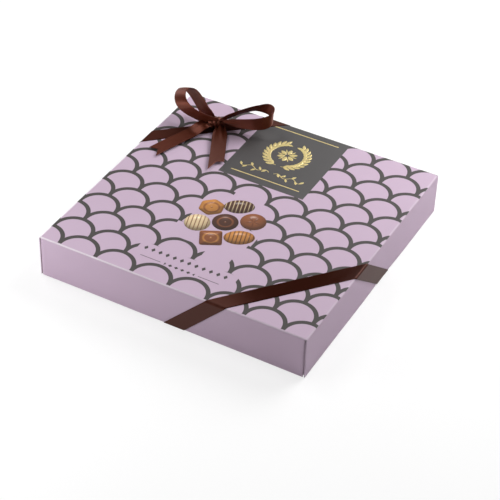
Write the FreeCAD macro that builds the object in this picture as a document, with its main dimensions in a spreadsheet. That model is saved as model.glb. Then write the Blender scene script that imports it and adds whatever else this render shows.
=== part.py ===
import FreeCAD, Part
import math
import os

import Sketcher
from FreeCAD import Placement, Rotation, Vector

# A square gift box of pralines: a folded lid that reaches the table over a folded base,
# ribbon across two corners with a bow, and a formed tray of sweets under a paper pad.
# +X runs along the front edge, +Y to the back and +Z up, from the middle of the base's underside.

# Lengths in millimetres, angles in degrees, shares as plain numbers
SIZES = {
    # Lid carton
    "lid_length": 220.0,
    "lid_depth": 220.0,
    "lid_height": 35.4,
    "board": 0.8,
    "fold_radius": 1.0,
    "lid_clearance": 1.0,
    "lid_play": 1.2,
    "flap_length": 18.0,
    "flap_board": 0.5,
    "flap_inset": 2.5,
    "slit_width": 0.4,
    "slit_inset": 1.8,
    "slit_drop": 1.6,
    # Base carton
    "base_board": 0.8,
    # Tray
    "tray_clearance": 0.9,
    "tray_sheet": 0.5,
    "deck_margin": 6.0,
    "cup_web": 3.0,
    "cup_clearance": 0.9,
    "cup_draft": 1.5,
    "cup_headroom": 0.5,
    # Pad over the sweets
    "pad_headroom": 5.2,
    "pad_thickness": 2.5,
    "pad_clearance": 1.5,
    "pad_corner": 6.0,
    # Sweets
    "dome_diameter": 31.0,
    "dome_height": 17.0,
    "dome_edge": 5.0,
    "swirl_diameter": 30.0,
    "swirl_height": 18.0,
    "square_side": 25.0,
    "square_height": 13.5,
    "square_corner": 5.0,
    "ivory_height": 3.5,
    "heart_side": 17.5,
    "heart_height": 15.0,
    "heart_edge": 2.5,
    "wedge_radius": 19.0,
    "wedge_height": 16.0,
    "wedge_corner": 4.0,
    "wedge_edge": 2.0,
    # Ribbon across the corners
    "ribbon_width": 12.0,
    "ribbon_thickness": 0.4,
    "ribbon_tuck": 12.0,
    "front_ribbon_from_right": 72.4,
    "front_ribbon_from_front": 85.4,
    "back_ribbon_from_left": 78.5,
    "back_ribbon_from_back": 71.0,
    # Bow: the knot sits on the back ribbon, and all the rest is measured from its middle
    "knot_place_share": 0.526,
    "knot_rise": 4.8,
    "knot_length": 12.0,
    "knot_depth": 8.4,
    "knot_height": 9.8,
    "knot_yaw": 30.0,
    "left_reach": 37.3,
    "left_reach_yaw": 176.9,
    "left_reach_pitch": 25.1,
    "left_spread": 9.7,
    "left_spread_yaw": 110.9,
    "left_spread_pitch": 8.5,
    "left_parting": 3.4,
    "left_parting_yaw": 156.8,
    "left_parting_pitch": 27.7,
    "left_near_yaw": -11.6,
    "left_near_pitch": 33.0,
    "left_far_yaw": -18.7,
    "left_far_pitch": 24.2,
    "right_reach": 45.8,
    "right_reach_yaw": 29.7,
    "right_reach_pitch": 11.5,
    "right_spread": 15.0,
    "right_spread_yaw": 128.9,
    "right_spread_pitch": -13.0,
    "right_parting": 2.2,
    "right_parting_yaw": 162.5,
    "right_parting_pitch": 13.6,
    "right_near_yaw": -138.5,
    "right_near_pitch": 75.8,
    "right_far_yaw": -41.2,
    "right_far_pitch": 43.7,
    "left_tail_bend": 18.9,
    "left_tail_bend_yaw": 229.3,
    "left_tail_length": 58.7,
    "left_tail_yaw": 245.3,
    "left_tail_rest": 1.2,
    "right_tail_bend": 19.6,
    "right_tail_bend_yaw": -51.4,
    "right_tail_length": 54.3,
    "right_tail_yaw": -60.1,
    "right_tail_rest": 1.6,
    "tail_notch": 5.0,
    "cut_overrun": 2.0,
}

# Shares of the ribbon's width and of a loop's reach that shape the gather beside the knot
GATHER_WIDTH_SHARE = 0.5
GATHER_REACH_SHARE = 0.4
LOOP_ROOT_SHARE = 0.05
TAIL_GATHER_SHARE = 0.3
# The least share of a ruling that still crosses the ribbon squarely
LEAST_CROSSING_SHARE = 0.75
# The crest of sin(t) sin(t/2)^2, so that a loop's spread is its true half width
CREST_SHARE = 3.0 * math.sqrt(3.0) / 8.0
LOOP_SECTIONS = 31
TAIL_SECTIONS = 11
# Radius, foot and height of each piped tier, as shares of the swirl's radius and height
SWIRL_TIER_SHARES = ((1.0, 0.0, 0.5), (0.72, 0.28, 0.46), (0.42, 0.56, 0.44))
# Where the middle of a heart's enclosing circle lies, as a share of its side
HEART_MIDDLE_SHARE = 0.185
SAME_PLACE = 1e-4

# Sizes worked out from the sheet, as expressions. The lid's rim stands on the ribbon's turned-in ends.
LID_RIM = "sizes.ribbon_thickness"
LID_TOP = f"({LID_RIM} + sizes.lid_height)"
LID_ROOM_HEIGHT = "(sizes.lid_height - sizes.board)"
LID_WALL_AND_GAP = "(sizes.board + sizes.lid_clearance)"
BASE_LENGTH = f"(sizes.lid_length - 2 * {LID_WALL_AND_GAP})"
BASE_DEPTH = f"(sizes.lid_depth - 2 * {LID_WALL_AND_GAP})"
BASE_HEIGHT = f"({LID_RIM} + {LID_ROOM_HEIGHT} - sizes.lid_play)"
ROOM_LENGTH = f"({BASE_LENGTH} - 2 * sizes.base_board)"
ROOM_DEPTH = f"({BASE_DEPTH} - 2 * sizes.base_board)"
TRAY_LENGTH = f"({ROOM_LENGTH} - 2 * sizes.tray_clearance)"
TRAY_DEPTH = f"({ROOM_DEPTH} - 2 * sizes.tray_clearance)"
DECK_TOP = f"({LID_RIM} + {LID_ROOM_HEIGHT} - sizes.pad_headroom - sizes.pad_thickness)"
DECK_RISE = f"({DECK_TOP} - sizes.base_board)"
SQUARE_SWEET_HEIGHT = "(sizes.square_height + sizes.ivory_height)"
TALLEST_SWEET = (f"max(sizes.dome_height; sizes.swirl_height; {SQUARE_SWEET_HEIGHT}; "
                 "sizes.heart_height; sizes.wedge_height)")
CUP_DEPTH = f"({TALLEST_SWEET} + sizes.cup_headroom)"
CUP_FLOOR = f"({DECK_TOP} - {CUP_DEPTH})"
# The radius of the circle round each kind of sweet, which its cup clears
DOME_REACH = "(sizes.dome_diameter / 2)"
SWIRL_REACH = "(sizes.swirl_diameter / 2)"
SQUARE_REACH = "(sizes.square_side * sqrt(0.5) - sizes.square_corner * (sqrt(2) - 1))"
HEART_REACH = f"(sizes.heart_side * (sqrt(0.5) + {HEART_MIDDLE_SHARE}))"
WEDGE_REACH = "(sizes.wedge_radius - sizes.wedge_corner)"
WIDEST_REACH = f"max({DOME_REACH}; {SWIRL_REACH}; {SQUARE_REACH}; {HEART_REACH}; {WEDGE_REACH})"
# As many cups as the deck holds with a web between them, spread evenly
CUP_SPACE = f"(2 * ({WIDEST_REACH} + sizes.cup_clearance + sizes.cup_draft) + sizes.cup_web)"
CUP_COLUMNS = f"floor(({TRAY_LENGTH} - 2 * sizes.deck_margin) / {CUP_SPACE})"
CUP_ROWS = f"floor(({TRAY_DEPTH} - 2 * sizes.deck_margin) / {CUP_SPACE})"
CUP_PITCH_X = f"(({TRAY_LENGTH} - 2 * sizes.deck_margin) / {CUP_COLUMNS})"
CUP_PITCH_Y = f"(({TRAY_DEPTH} - 2 * sizes.deck_margin) / {CUP_ROWS})"
RIBBON_TOP = f"({LID_TOP} + sizes.ribbon_thickness)"
KNOT_X = "(sizes.knot_place_share * sizes.back_ribbon_from_left - sizes.lid_length / 2)"
KNOT_Y = "(sizes.lid_depth / 2 - (1 - sizes.knot_place_share) * sizes.back_ribbon_from_back)"
KNOT_Z = f"({RIBBON_TOP} + sizes.knot_rise)"

doc = FreeCAD.newDocument("praline_box")
sheet = doc.addObject("Spreadsheet::Sheet", "sizes")
for row, (alias, value) in enumerate(SIZES.items(), start=1):
    sheet.set(f"A{row}", alias)
    sheet.set(f"B{row}", str(value))
    sheet.setAlias(f"B{row}", alias)
doc.recompute()

nodes = []


def size(expression):
    """The value of an expression in the sheet's sizes."""
    return float(sheet.evalExpression(expression))


def keep(piece, label):
    """Name a finished piece and put it on the list of nodes."""
    piece.Label = label
    nodes.append(piece)
    return piece


def bind(piece, **expressions):
    """Tie a piece's properties to expressions; x, y and z stand for its place."""
    for name, expression in expressions.items():
        target = f"Placement.Base.{name}" if name in ("x", "y", "z") else name
        piece.setExpression(target, expression)
    return piece


def primitive(kind, name, **expressions):
    """A primitive solid with its sizes tied to the sheet."""
    return bind(doc.addObject(f"Part::{kind}", name), **expressions)


def joined(name, pieces):
    """Several solids fused into one."""
    fuse = doc.addObject("Part::MultiFuse", name)
    fuse.Shapes = pieces
    fuse.Refine = True
    return fuse


def cut(name, base, tool):
    """One solid less another."""
    difference = doc.addObject("Part::Cut", name)
    difference.Base = base
    difference.Tool = tool
    difference.Refine = True
    return difference


def is_upright(edge):
    """True for an edge that runs straight up."""
    box = edge.BoundBox
    return box.XLength < SAME_PLACE and box.YLength < SAME_PLACE


def is_on_top(edge, shape):
    """True for an edge in the shape's highest plane."""
    return edge.BoundBox.ZMin > shape.BoundBox.ZMax - SAME_PLACE


def rounded(name, base, test, radius):
    """Round the edges of a solid that pass a test."""
    doc.recompute()
    fillet = doc.addObject("Part::Fillet", name)
    fillet.Base = base
    edges = enumerate(base.Shape.Edges, start=1)
    fillet.Edges = [(index, radius, radius) for index, edge in edges if test(edge)]
    return fillet


def soft_topped(name, base, radius):
    """Round the top edges of a solid."""
    doc.recompute()
    shape = base.Shape
    return rounded(f"{name}_soft_top", base, lambda edge: is_on_top(edge, shape), radius)


def new_body(label):
    """An empty body that will be one node."""
    return keep(doc.addObject("PartDesign::Body", label), label)


def level_sketch(body, name, rise="0"):
    """A sketch on the body's level plane, lifted by an expression."""
    sketch = body.newObject("Sketcher::SketchObject", name)
    plane = next(item for item in body.Origin.OriginFeatures if item.Role == "XY_Plane")
    sketch.AttachmentSupport = [(plane, "")]
    sketch.MapMode = "FlatFace"
    sketch.setExpression("AttachmentOffset.Base.z", rise)
    return sketch


def add_rectangle(sketch, key, left, front, width, depth):
    """A rectangle from its front left corner, with all four measures tied to expressions."""
    x, y, w, d = (size(expression) for expression in (left, front, width, depth))
    corners = [Vector(x, y), Vector(x + w, y), Vector(x + w, y + d), Vector(x, y + d)]
    first = sketch.GeometryCount
    for index, corner in enumerate(corners):
        sketch.addGeometry(Part.LineSegment(corner, corners[(index + 1) % 4]))
    for index in range(4):
        following = first + (index + 1) % 4
        sketch.addConstraint(Sketcher.Constraint("Coincident", first + index, 2, following, 1))
    for index in (0, 2):
        sketch.addConstraint(Sketcher.Constraint("Horizontal", first + index))
        sketch.addConstraint(Sketcher.Constraint("Vertical", first + index + 1))
    measures = (
        ("left", ("DistanceX", -1, 1, first, 1, x), left),
        ("front", ("DistanceY", -1, 1, first, 1, y), front),
        ("width", ("DistanceX", first, 1, first, 2, w), width),
        ("depth", ("DistanceY", first + 1, 1, first + 1, 2, d), depth),
    )
    for word, constraint, expression in measures:
        index = sketch.addConstraint(Sketcher.Constraint(*constraint))
        sketch.renameConstraint(index, f"{key}_{word}")
        sketch.setExpression(f"Constraints.{key}_{word}", expression)


def add_middle_rectangle(sketch, key, width, depth):
    """A rectangle about the sketch's origin."""
    add_rectangle(sketch, key, f"-{width} / 2", f"-{depth} / 2", width, depth)


def pad(body, sketch, name, length):
    """Raise a sketch by a length."""
    feature = body.newObject("PartDesign::Pad", name)
    feature.Profile = sketch
    feature.setExpression("Length", length)
    doc.recompute()
    return feature


def pocket_up(body, sketch, name, length):
    """Cut upwards from a sketch, and make sure that something was cut."""
    before = body.Shape.Volume
    feature = body.newObject("PartDesign::Pocket", name)
    feature.Profile = sketch
    feature.Reversed = True
    feature.setExpression("Length", length)
    doc.recompute()
    if body.Shape.Volume >= before:
        raise RuntimeError(f"{name} cuts nothing")
    return feature


def round_body(body, feature, name, radius, test):
    """Round a body's edges that pass the test."""
    edges = [f"Edge{i}" for i, edge in enumerate(feature.Shape.Edges, start=1) if test(edge)]
    fillet = body.newObject("PartDesign::Fillet", name)
    fillet.Base = (feature, edges)
    fillet.setExpression("Radius", radius)
    doc.recompute()
    return fillet


def glue_flaps(body, length, depth, wall, low, high):
    """Corner flaps glued to the inside of the front and back walls, between two heights."""
    sketch = level_sketch(body, f"{body.Name}_flap_outline", f"{low} + sizes.flap_inset")
    left = f"-{length} / 2 + {wall}"
    right = f"{length} / 2 - {wall} - sizes.flap_length"
    front = f"-{depth} / 2 + {wall}"
    back = f"{depth} / 2 - {wall} - sizes.flap_board"
    for key, x, y in (("fl", left, front), ("fr", right, front), ("bl", left, back), ("br", right, back)):
        add_rectangle(sketch, key, x, y, "sizes.flap_length", "sizes.flap_board")
    pad(body, sketch, f"{body.Name}_flaps", f"{high} - {low} - 2 * sizes.flap_inset")


def make_base():
    """The base: a shallow folded tray that the lid slips over."""
    body = new_body("base_carton")
    outline = level_sketch(body, "base_outline")
    add_middle_rectangle(outline, "base", BASE_LENGTH, BASE_DEPTH)
    block = pad(body, outline, "base_block", BASE_HEIGHT)
    round_body(body, block, "base_folds", "sizes.fold_radius", is_upright)
    room = level_sketch(body, "base_room_outline", "sizes.base_board")
    add_middle_rectangle(room, "room", ROOM_LENGTH, ROOM_DEPTH)
    pocket_up(body, room, "base_room", BASE_HEIGHT)
    glue_flaps(body, BASE_LENGTH, BASE_DEPTH, "sizes.base_board", "sizes.base_board", BASE_HEIGHT)


def make_lid():
    """The lid: full-depth walls, folded top edges, corner slits and glued corner flaps."""
    body = new_body("lid_carton")
    bind(body, z=LID_RIM)
    outline = level_sketch(body, "lid_outline")
    add_middle_rectangle(outline, "lid", "sizes.lid_length", "sizes.lid_depth")
    block = pad(body, outline, "lid_block", "sizes.lid_height")
    top = block.Shape

    def is_fold(edge):
        return is_upright(edge) or is_on_top(edge, top)

    round_body(body, block, "lid_folds", "sizes.fold_radius", is_fold)
    room = level_sketch(body, "lid_room_outline")
    add_middle_rectangle(room, "room", "(sizes.lid_length - 2 * sizes.board)",
                         "(sizes.lid_depth - 2 * sizes.board)")
    pocket_up(body, room, "lid_room", LID_ROOM_HEIGHT)
    slits = level_sketch(body, "lid_slit_outline")
    left = "-sizes.lid_length / 2 + sizes.slit_inset"
    right = "sizes.lid_length / 2 - sizes.slit_inset - sizes.slit_width"
    front = "-sizes.lid_depth / 2"
    back = "sizes.lid_depth / 2 - sizes.board"
    for key, x, y in (("fl", left, front), ("fr", right, front), ("bl", left, back), ("br", right, back)):
        add_rectangle(slits, key, x, y, "sizes.slit_width", "sizes.board")
    pocket_up(body, slits, "lid_slits", "sizes.lid_height - sizes.slit_drop")
    glue_flaps(body, "sizes.lid_length", "sizes.lid_depth", "sizes.board", "0", LID_ROOM_HEIGHT)


def cup_middle(column, row):
    """Expressions for the middle of a cup."""
    x = f"({column} + 0.5 - {CUP_COLUMNS} / 2) * {CUP_PITCH_X}"
    y = f"({row} + 0.5 - {CUP_ROWS} / 2) * {CUP_PITCH_Y}"
    return x, y


def cup_places():
    """Column and row of each cup."""
    columns = range(round(size(CUP_COLUMNS)))
    rows = range(round(size(CUP_ROWS)))
    return [(column, row) for row in rows for column in columns]


def make_tray():
    """The tray: a thin formed sheet with a skirt on the base's floor and a cup for each sweet."""
    block = primitive("Box", "tray_block", Length=TRAY_LENGTH, Width=TRAY_DEPTH, Height=DECK_RISE,
                      x=f"-{TRAY_LENGTH} / 2", y=f"-{TRAY_DEPTH} / 2", z="sizes.base_board")
    inner_length = f"({TRAY_LENGTH} - 2 * sizes.tray_sheet)"
    inner_depth = f"({TRAY_DEPTH} - 2 * sizes.tray_sheet)"
    hollow = primitive("Box", "tray_hollow", Length=inner_length, Width=inner_depth,
                       Height=f"{DECK_RISE} - sizes.tray_sheet",
                       x=f"-{inner_length} / 2", y=f"-{inner_depth} / 2", z="sizes.base_board")
    walls = []
    hollows = []
    for column, row in cup_places():
        x, y = cup_middle(column, row)
        kind, maker, reach = sweet_at(column, row)
        foot = f"({reach} + sizes.cup_clearance)"
        mouth = f"({foot} + sizes.cup_draft)"
        walls.append(primitive("Cone", f"cup_wall_{column}_{row}", x=x, y=y,
                               z=f"{CUP_FLOOR} - sizes.tray_sheet",
                               Radius1=f"{foot} + sizes.tray_sheet",
                               Radius2=f"{mouth} + sizes.tray_sheet",
                               Height=f"{CUP_DEPTH} + sizes.tray_sheet"))
        hollows.append(primitive("Cone", f"cup_hollow_{column}_{row}", x=x, y=y, z=CUP_FLOOR,
                                 Radius1=foot, Radius2=mouth, Height=CUP_DEPTH))
    shell = cut("tray_shell", block, hollow)
    cupped = joined("tray_with_cups", [shell] + walls)
    keep(cut("tray_open", cupped, joined("cup_hollows", hollows)), "blister_tray")


def make_pad():
    """The embossed paper pad that lies on the tray's deck under the lid."""
    body = new_body("cushion_pad")
    bind(body, z=DECK_TOP)
    outline = level_sketch(body, "cushion_outline")
    add_middle_rectangle(outline, "cushion", f"({ROOM_LENGTH} - 2 * sizes.pad_clearance)",
                         f"({ROOM_DEPTH} - 2 * sizes.pad_clearance)")
    block = pad(body, outline, "cushion_block", "sizes.pad_thickness")
    round_body(body, block, "cushion_corners", "sizes.pad_corner", is_upright)


def make_dome(name):
    """A round sweet with a straight foot and a domed top."""
    foot = primitive("Cylinder", f"{name}_foot", Radius=DOME_REACH, Height="sizes.dome_edge")
    top = primitive("Ellipsoid", f"{name}_top", Radius1="sizes.dome_height - sizes.dome_edge",
                    Radius2=DOME_REACH, Radius3=DOME_REACH, z="sizes.dome_edge")
    top.Angle1 = 0
    return [joined(f"{name}_joined", [foot, top])]


def make_swirl(name):
    """A piped sweet of three rounded tiers."""
    tiers = []
    for number, (radius_share, foot_share, height_share) in enumerate(SWIRL_TIER_SHARES):
        radius = f"{SWIRL_REACH} * {radius_share}"
        tier = primitive("Ellipsoid", f"{name}_tier_{number}",
                         Radius1=f"sizes.swirl_height * {height_share}",
                         Radius2=radius, Radius3=radius, z=f"sizes.swirl_height * {foot_share}")
        tier.Angle1 = 0
        tiers.append(tier)
    return [joined(f"{name}_joined", tiers)]


def make_square(name):
    """A square sweet with rounded corners and an ivory slab on top."""
    layers = []
    for layer, height in (("body", "sizes.square_height"), ("slab", "sizes.ivory_height")):
        block = primitive("Box", f"{name}_{layer}_block", Length="sizes.square_side",
                          Width="sizes.square_side", Height=height,
                          x="-sizes.square_side / 2", y="-sizes.square_side / 2")
        layers.append(rounded(f"{name}_{layer}", block, is_upright, size("sizes.square_corner")))
    return layers


def make_heart(name):
    """A heart: a square on its corner with a round lobe on each upper side."""
    middle = f"- sizes.heart_side * {HEART_MIDDLE_SHARE}"
    lobe = "sizes.heart_side * sqrt(0.125)"
    block = primitive("Box", f"{name}_block", Length="sizes.heart_side", Width="sizes.heart_side",
                      Height="sizes.heart_height", y=f"-sizes.heart_side * sqrt(0.5) {middle}")
    block.Placement.Rotation = Rotation(Vector(0, 0, 1), 45)
    lobes = [primitive("Cylinder", f"{name}_lobe_{side}", Radius="sizes.heart_side / 2",
                       Height="sizes.heart_height", x=f"{sign}{lobe}", y=f"{lobe} {middle}")
             for side, sign in (("left", "-"), ("right", ""))]
    whole = joined(f"{name}_joined", [block] + lobes)
    return [soft_topped(name, whole, size("sizes.heart_edge"))]


def make_wedge(name):
    """A three-cornered sweet with soft corners and a soft top edge."""
    block = primitive("Prism", f"{name}_block", Circumradius="sizes.wedge_radius",
                      Height="sizes.wedge_height")
    block.Polygon = 3
    soft = rounded(f"{name}_corners", block, is_upright, size("sizes.wedge_corner"))
    return [soft_topped(name, soft, size("sizes.wedge_edge"))]


# Each kind of sweet, what makes it and the circle round it
SWEETS = (
    ("striped_dome", make_dome, DOME_REACH),
    ("swirl_cone", make_swirl, SWIRL_REACH),
    ("layered_square", make_square, SQUARE_REACH),
    ("caramel_heart", make_heart, HEART_REACH),
    ("dark_wedge", make_wedge, WEDGE_REACH),
)


def sweet_at(column, row):
    """The kind of sweet in a cup: each row starts its kinds two further on."""
    return SWEETS[(column + 2 * row) % len(SWEETS)]


def make_sweets():
    """One sweet in each cup."""
    counts = dict.fromkeys((kind for kind, maker, reach in SWEETS), 0)
    for column, row in cup_places():
        kind, maker, reach = sweet_at(column, row)
        counts[kind] += 1
        label = f"{kind}_{counts[kind]}"
        x, y = cup_middle(column, row)
        layers = maker(f"sweet_{column}_{row}")
        keep(bind(layers[0], x=x, y=y, z=CUP_FLOOR), label)
        if len(layers) > 1:
            slab_foot = f"{CUP_FLOOR} + sizes.square_height"
            keep(bind(layers[1], x=x, y=y, z=slab_foot), f"ivory_top_{counts[kind]}")


def slab(points, thickness):
    """A flat outline raised by a thickness vector."""
    return Part.Face(Part.makePolygon(points + points[:1])).extrude(thickness)


def corner_ribbon(from_corner_front, from_corner_side):
    """Ribbon over the front right corner, with its two ends turned under the rim and up inside.

    The strip crosses the front edge and the right edge at the given lengths from the corner.
    On each wall it keeps the line that it would have if the walls were laid flat."""
    half_length = size("sizes.lid_length") / 2
    half_depth = size("sizes.lid_depth") / 2
    top = size(LID_TOP)
    rim = size(LID_RIM)
    thick = size("sizes.ribbon_thickness")
    board = size("sizes.board")
    tuck = size("sizes.ribbon_tuck")
    run = math.hypot(from_corner_front, from_corner_side)
    half_front = size("sizes.ribbon_width") / 2 * run / from_corner_side
    half_side = size("sizes.ribbon_width") / 2 * run / from_corner_front
    lean_front = from_corner_front / from_corner_side
    lean_side = from_corner_side / from_corner_front
    outer_y = -half_depth - thick
    outer_x = half_length + thick
    inner_y = -half_depth + board
    inner_x = half_length - board
    low = rim - thick
    # Places of the strip's middle along its path: at the fold, at the foot, past the rim, inside
    fold_x = half_length - from_corner_front - thick * lean_front
    foot_x = fold_x - (top - low) * lean_front
    past_x = foot_x - (board + 2 * thick) * lean_front
    end_x = past_x - (tuck + thick) * lean_front
    fold_y = -half_depth + from_corner_side + thick * lean_side
    foot_y = fold_y + (top - low) * lean_side
    past_y = foot_y + (board + 2 * thick) * lean_side
    end_y = past_y + (tuck + thick) * lean_side
    up = Vector(0, 0, thick)
    across_front = Vector(0, thick, 0)
    across_side = Vector(thick, 0, 0)
    pieces = [
        slab([Vector(fold_x - half_front, outer_y, top), Vector(fold_x + half_front, outer_y, top),
              Vector(outer_x, fold_y - half_side, top), Vector(outer_x, fold_y + half_side, top)], up),
        slab([Vector(fold_x - half_front, outer_y, top), Vector(fold_x + half_front, outer_y, top),
              Vector(foot_x + half_front, outer_y, low), Vector(foot_x - half_front, outer_y, low)],
             across_front),
        slab([Vector(foot_x - half_front, outer_y, low), Vector(foot_x + half_front, outer_y, low),
              Vector(past_x + half_front, inner_y + thick, low),
              Vector(past_x - half_front, inner_y + thick, low)], up),
        slab([Vector(past_x - half_front, inner_y, low), Vector(past_x + half_front, inner_y, low),
              Vector(end_x + half_front, inner_y, rim + tuck),
              Vector(end_x - half_front, inner_y, rim + tuck)], across_front),
        slab([Vector(half_length, fold_y - half_side, top), Vector(half_length, fold_y + half_side, top),
              Vector(half_length, foot_y + half_side, low), Vector(half_length, foot_y - half_side, low)],
             across_side),
        slab([Vector(outer_x, foot_y - half_side, low), Vector(outer_x, foot_y + half_side, low),
              Vector(inner_x - thick, past_y + half_side, low),
              Vector(inner_x - thick, past_y - half_side, low)], up),
        slab([Vector(inner_x - thick, past_y - half_side, low),
              Vector(inner_x - thick, past_y + half_side, low),
              Vector(inner_x - thick, end_y + half_side, rim + tuck),
              Vector(inner_x - thick, end_y - half_side, rim + tuck)], across_side),
    ]
    return pieces[0].multiFuse(pieces[1:]).removeSplitter()


def whole_solid(shape):
    """The largest solid of a shape, for a piece that a cut has trimmed."""
    return max(shape.Solids, key=lambda solid: solid.Volume)


def add_shape(label, shape, turn=0):
    """A node whose shape is worked out here, turned about the box's middle."""
    feature = doc.addObject("Part::Feature", label)
    feature.Shape = shape
    feature.Placement = Placement(Vector(0, 0, 0), Rotation(Vector(0, 0, 1), turn))
    return keep(feature, label)


def make_corner_ribbons():
    """The two strips; the back left one is turned half round the box."""
    add_shape("front_corner_ribbon", corner_ribbon(size("sizes.front_ribbon_from_right"),
                                                   size("sizes.front_ribbon_from_front")))
    back = corner_ribbon(size("sizes.back_ribbon_from_left"), size("sizes.back_ribbon_from_back"))
    add_shape("back_corner_ribbon", back, turn=180)


def pointing(length, yaw, pitch):
    """A vector of a length, turned by a yaw about Z and raised by a pitch."""
    level = length * math.cos(math.radians(pitch))
    return Vector(level * math.cos(math.radians(yaw)), level * math.sin(math.radians(yaw)),
                  length * math.sin(math.radians(pitch)))


def aimed(length, name):
    """A vector of a length, along the yaw and pitch that the sheet has under a name."""
    return pointing(length, size(f"sizes.{name}_yaw"), size(f"sizes.{name}_pitch"))


def eased(share):
    """A smooth step from 0 to 1."""
    share = min(max(share, 0.0), 1.0)
    return share * share * (3.0 - 2.0 * share)


def ribbon_loft(middles, rulings, ruled):
    """A thin solid through sections along rulings across a line of middles, ruled or smooth."""
    thick = size("sizes.ribbon_thickness")
    wires = []
    for index, (middle, ruling) in enumerate(zip(middles, rulings)):
        ahead = middles[min(index + 1, len(middles) - 1)] - middles[max(index - 1, 0)]
        face = ahead.cross(ruling)
        face.normalize()
        half = ruling * 0.5
        lift = face * (thick / 2)
        corners = [middle - half - lift, middle + half - lift, middle + half + lift, middle - half + lift]
        wires.append(Part.makePolygon(corners + corners[:1]))
    return Part.makeLoft(wires, True, ruled)


def bow_loop(knot, side):
    """A loop of the bow: a teardrop line with straight rulings across it.

    With t from 0 to a full turn, the line goes out along the reach by sin(t/2)^2 and swings along
    the spread by sin(t) sin(t/2)^2, and its two roots stand apart along the parting by cos(t/2).
    The ribbon gathers towards the knot."""
    reach, spread, parting = (aimed(size(f"sizes.{side}_{word}"), f"{side}_{word}")
                              for word in ("reach", "spread", "parting"))
    near, far = (aimed(1, f"{side}_{word}") for word in ("near", "far"))
    width = size("sizes.ribbon_width")
    middles = []
    outs = []
    for step in range(LOOP_SECTIONS):
        turn = 2.0 * math.pi * step / (LOOP_SECTIONS - 1)
        out = LOOP_ROOT_SHARE + (1.0 - LOOP_ROOT_SHARE) * math.sin(turn / 2.0) ** 2
        swing = math.sin(turn) * math.sin(turn / 2.0) ** 2 / CREST_SHARE
        middles.append(knot + reach * out - spread * swing - parting * math.cos(turn / 2.0))
        outs.append(out)
    rulings = []
    for step, out in enumerate(outs):
        share = step / (LOOP_SECTIONS - 1)
        ruling = near * (1.0 - share) + far * share
        ruling.normalize()
        ahead = middles[min(step + 1, LOOP_SECTIONS - 1)] - middles[max(step - 1, 0)]
        ahead.normalize()
        crossing = max(ahead.cross(ruling).Length, LEAST_CROSSING_SHARE)
        gather = GATHER_WIDTH_SHARE + (1.0 - GATHER_WIDTH_SHARE) * eased(out / GATHER_REACH_SHARE)
        rulings.append(ruling * (width * gather / crossing))
    return ribbon_loft(middles, rulings, ruled=True)


def bow_tail(knot, side):
    """A tail of the bow: it bends away from the knot, sinks onto the lid and ends in a notch."""
    bend = knot + pointing(size(f"sizes.{side}_tail_bend"), size(f"sizes.{side}_tail_bend_yaw"), 0)
    end = knot + pointing(size(f"sizes.{side}_tail_length"), size(f"sizes.{side}_tail_yaw"), 0)
    drop = Vector(0, 0, knot.z - size(RIBBON_TOP) - size(f"sizes.{side}_tail_rest"))
    width = size("sizes.ribbon_width")
    middles = []
    rulings = []
    for step in range(TAIL_SECTIONS):
        share = step / (TAIL_SECTIONS - 1)
        plan = knot * (1 - share) ** 2 + bend * (2 * share * (1 - share)) + end * share ** 2
        ahead = (bend - knot) * (1 - share) + (end - bend) * share
        ahead.normalize()
        middles.append(plan - drop * (1 - (1 - share) ** 2))
        gather = GATHER_WIDTH_SHARE + (1.0 - GATHER_WIDTH_SHARE) * eased(share / TAIL_GATHER_SHARE)
        rulings.append(Vector(-ahead.y, ahead.x, 0) * (width * gather))
    tail = ribbon_loft(middles, rulings, ruled=False)
    overrun = size("sizes.cut_overrun")
    notch = size("sizes.tail_notch")
    tip = middles[-1] - Vector(0, 0, overrun)
    half = rulings[-1] * (0.5 * (notch + overrun) / notch)
    mouth = tip + ahead * overrun
    wedge = slab([tip - ahead * notch, mouth + half, mouth - half], Vector(0, 0, 2 * overrun))
    return tail.cut(wedge)


def make_bow():
    """The bow on the back ribbon: each loop and tail is trimmed to meet the knot face to face."""
    core = primitive("Ellipsoid", "knot_core", Radius1="sizes.knot_height / 2",
                     Radius2="sizes.knot_length / 2", Radius3="sizes.knot_depth / 2",
                     x=KNOT_X, y=KNOT_Y, z=KNOT_Z)
    core.Placement.Rotation = Rotation(Vector(0, 0, 1), size("sizes.knot_yaw"))
    seat = primitive("Box", "knot_seat", Length="2 * sizes.knot_length", Width="2 * sizes.knot_length",
                     Height="sizes.knot_height", x=f"{KNOT_X} - sizes.knot_length",
                     y=f"{KNOT_Y} - sizes.knot_length", z=f"{RIBBON_TOP} - sizes.knot_height")
    knot = keep(cut("knot_seated", core, seat), "bow_knot")
    doc.recompute()
    middle = Vector(size(KNOT_X), size(KNOT_Y), size(KNOT_Z))
    placed = [knot.Shape]
    for label, maker, side in (("bow_left_loop", bow_loop, "left"), ("bow_right_loop", bow_loop, "right"),
                               ("bow_left_tail", bow_tail, "left"), ("bow_right_tail", bow_tail, "right")):
        piece = maker(middle, side)
        for other in placed:
            piece = whole_solid(piece.cut(other))
        placed.append(piece)
        add_shape(label, piece)


def check_and_write():
    """Stop on any failed object or bad shape, then write each node's solid."""
    doc.recompute()
    for item in doc.Objects:
        if "Invalid" in item.State or "Error" in item.State:
            raise RuntimeError(f"{item.Label} failed: {item.State}")
    for piece in nodes:
        if piece.Shape.isNull() or not piece.Shape.isValid() or not piece.Shape.Solids:
            raise RuntimeError(f"{piece.Label} has no valid solid")
    os.makedirs("parts", exist_ok=True)
    for piece in nodes:
        piece.Shape.exportStep(f"parts/{piece.Label}.step")


make_base()
make_tray()
make_sweets()
make_pad()
make_lid()
make_corner_ribbons()
make_bow()
check_and_write()
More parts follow.
